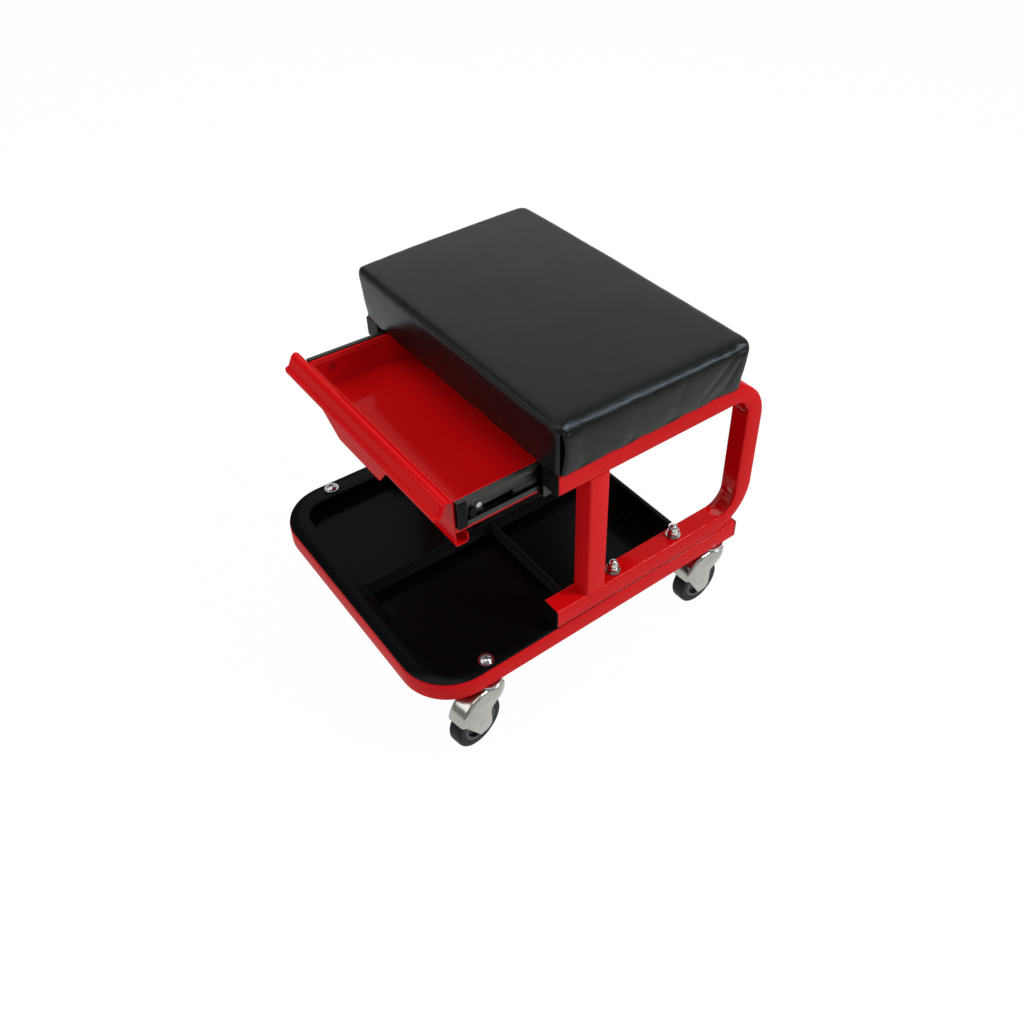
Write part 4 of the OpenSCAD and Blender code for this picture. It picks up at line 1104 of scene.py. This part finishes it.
# Build
base_rail()
side_frames()
weld_beads()
tube_plugs()
tray()
divider("divider_strip", "divider_long", [(0.0, TRAY_FRONT + 0.2, TRAY_BACK - 0.2)], "y")
divider("divider_cross", "cross_dividers",
        [(CROSS_Y, 1.3, TRAY_X - 0.2), (CROSS_Y, -TRAY_X + 0.2, -1.3)], "x")
drawer_front()
drawer_box()
for corner in ("fl", "fr", "rl", "rr"):
    caster_pieces(corner)
cushion()
for part in ("cabinet_l", "cabinet_r", "drawer_l", "drawer_r"):
    soften("slide_" + part, 0.25)
slot_shade_strips()
for name, obj in frame["nodes"].items():
    if not obj.hide_render:
        obj.data.materials.clear()
        obj.data.materials.append(MATS[SLOT_OF[name]])
        all_smooth(obj.data)


# Stage: the surroundings' brightness as light, and the share of plain white in the seen floor
ROOM = 0.34
SEEN = 0.985
WHITE = (1, 1, 1, 1)


def mix_shaders(nt, fac, a, b):
    """Shader a, turned to b where fac is one."""
    return add_node(nt, "MixShader", {0: fac, 1: a.outputs[0], 2: b.outputs[0]}).outputs[0]


def stage():
    """White floor and surroundings where they are seen, and greys for all other light."""
    bm = bmesh.new()
    size = 6.0
    bm.faces.new([bm.verts.new((x, y, 0)) for x, y in box_outline(-size, size, -size, size)])
    floor = finish_mesh(bm, "floor")
    m, nt, sh = new_material("floor")
    set_inputs(nt, sh, {
        "Base Color": greys(nt, noise_node(nt, coords(nt), 3, 2), 0.88, 0.92),
        "Roughness": 0.8,
        "Specular IOR Level": 0.1})
    glow = add_node(nt, "Emission", {0: WHITE, 1: 1.0})
    share = add_node(nt, "Math", {1: SEEN})
    share.operation = "MULTIPLY"
    set_inputs(nt, share, {0: seen_ray(nt)})
    out = next(n for n in nt.nodes if n.type == "OUTPUT_MATERIAL")
    set_inputs(nt, out, {0: mix_shaders(nt, share.outputs[0], sh, glow)})
    floor.data.materials.append(m)
    world = bpy.data.worlds.new("studio")
    bpy.context.scene.world = world
    world.use_nodes = True
    nt = world.node_tree
    nt.nodes.clear()
    seen = add_node(nt, "Background", {0: WHITE, 1: 1.0})
    room = add_node(nt, "Background", {0: (0.97, 0.98, 1, 1), 1: ROOM})
    path = add_node(nt, "LightPath")
    add_node(nt, "OutputWorld", {0: mix_shaders(nt, path.outputs["Is Camera Ray"], room, seen)})


def seen_ray(nt):
    """One for camera, glossy and transmission rays, and zero for the rest."""
    path = add_node(nt, "LightPath")
    total = path.outputs["Is Camera Ray"]
    for kind in ("Is Glossy Ray", "Is Transmission Ray"):
        most = add_node(nt, "Math")
        most.operation = "MAXIMUM"
        set_inputs(nt, most, {0: total, 1: path.outputs[kind]})
        total = most.outputs[0]
    return total


def lamp(name, direction, distance, size, power, colour=(1, 1, 1)):
    """Rectangular lamp in a direction from the seat, turned to face it."""
    data = bpy.data.lights.new(name, "AREA")
    data.shape = "RECTANGLE"
    data.size, data.size_y = size
    data.energy = power
    data.color = colour
    obj = bpy.data.objects.new(name, data)
    bpy.context.scene.collection.objects.link(obj)
    aim = Vector((0, 0, 0.25))
    obj.location = aim + Vector(direction).normalized() * distance
    obj.rotation_euler = (aim - obj.location).to_track_quat("-Z", "Y").to_euler()


# Camera fitted to the photograph, whose sides are PHOTO pixels: its turns in degrees, its place in
# the drawing, its focal length and principal point in pixels
PHOTO, SENSOR = 1024, 36
CAMERA_TURNS, CAMERA_AT = (141.23, 36.92, 38.23), (746.7, -273.3, 865.3)
FOCAL, CENTRE = 964.12, (581.6, 437.56)


def camera():
    a, b, c = (radians(v) for v in CAMERA_TURNS)
    rx = np.array([[1, 0, 0], [0, cos(a), -sin(a)], [0, sin(a), cos(a)]])
    ry = np.array([[cos(b), 0, sin(b)], [0, 1, 0], [-sin(b), 0, cos(b)]])
    rz = np.array([[cos(c), -sin(c), 0], [sin(c), cos(c), 0], [0, 0, 1]])
    # from the fit's axes, with y down and z ahead, to Blender's
    world = np.diag((1, -1, -1)) @ (rz @ ry @ rx)
    data = bpy.data.cameras.new("camera")
    cam = bpy.data.objects.new("camera", data)
    bpy.context.scene.collection.objects.link(cam)
    turn = Matrix([list(r) for r in world.T]).to_4x4()
    cam.matrix_world = Matrix.Translation(place(CAMERA_AT)) @ turn
    data.sensor_fit = "HORIZONTAL"
    data.sensor_width = SENSOR
    data.lens = FOCAL * SENSOR / PHOTO
    data.shift_x = (PHOTO / 2 - CENTRE[0]) / PHOTO
    data.shift_y = (CENTRE[1] - PHOTO / 2) / PHOTO
    data.clip_start, data.clip_end = 0.05, 50
    bpy.context.scene.camera = cam


stage()
lamp("sky", (-0.62, 0.47, 0.63), 2.2, (2.8, 2.2), 14)
lamp("window", (0.55, 0.50, 0.66), 2.2, (0.4, 1.4), 36, (0.78, 0.90, 1))
lamp("side", (1.0, -0.15, 0.28), 2.6, (1.8, 1.2), 3)
lamp("front", (-0.35, -0.8, 0.55), 2.6, (1.8, 1.2), 14)
lamp("top", (0.0, -0.25, 1.0), 2.2, (1.4, 1.4), 14)
camera()
bpy.context.scene.view_settings.view_transform = "Standard"
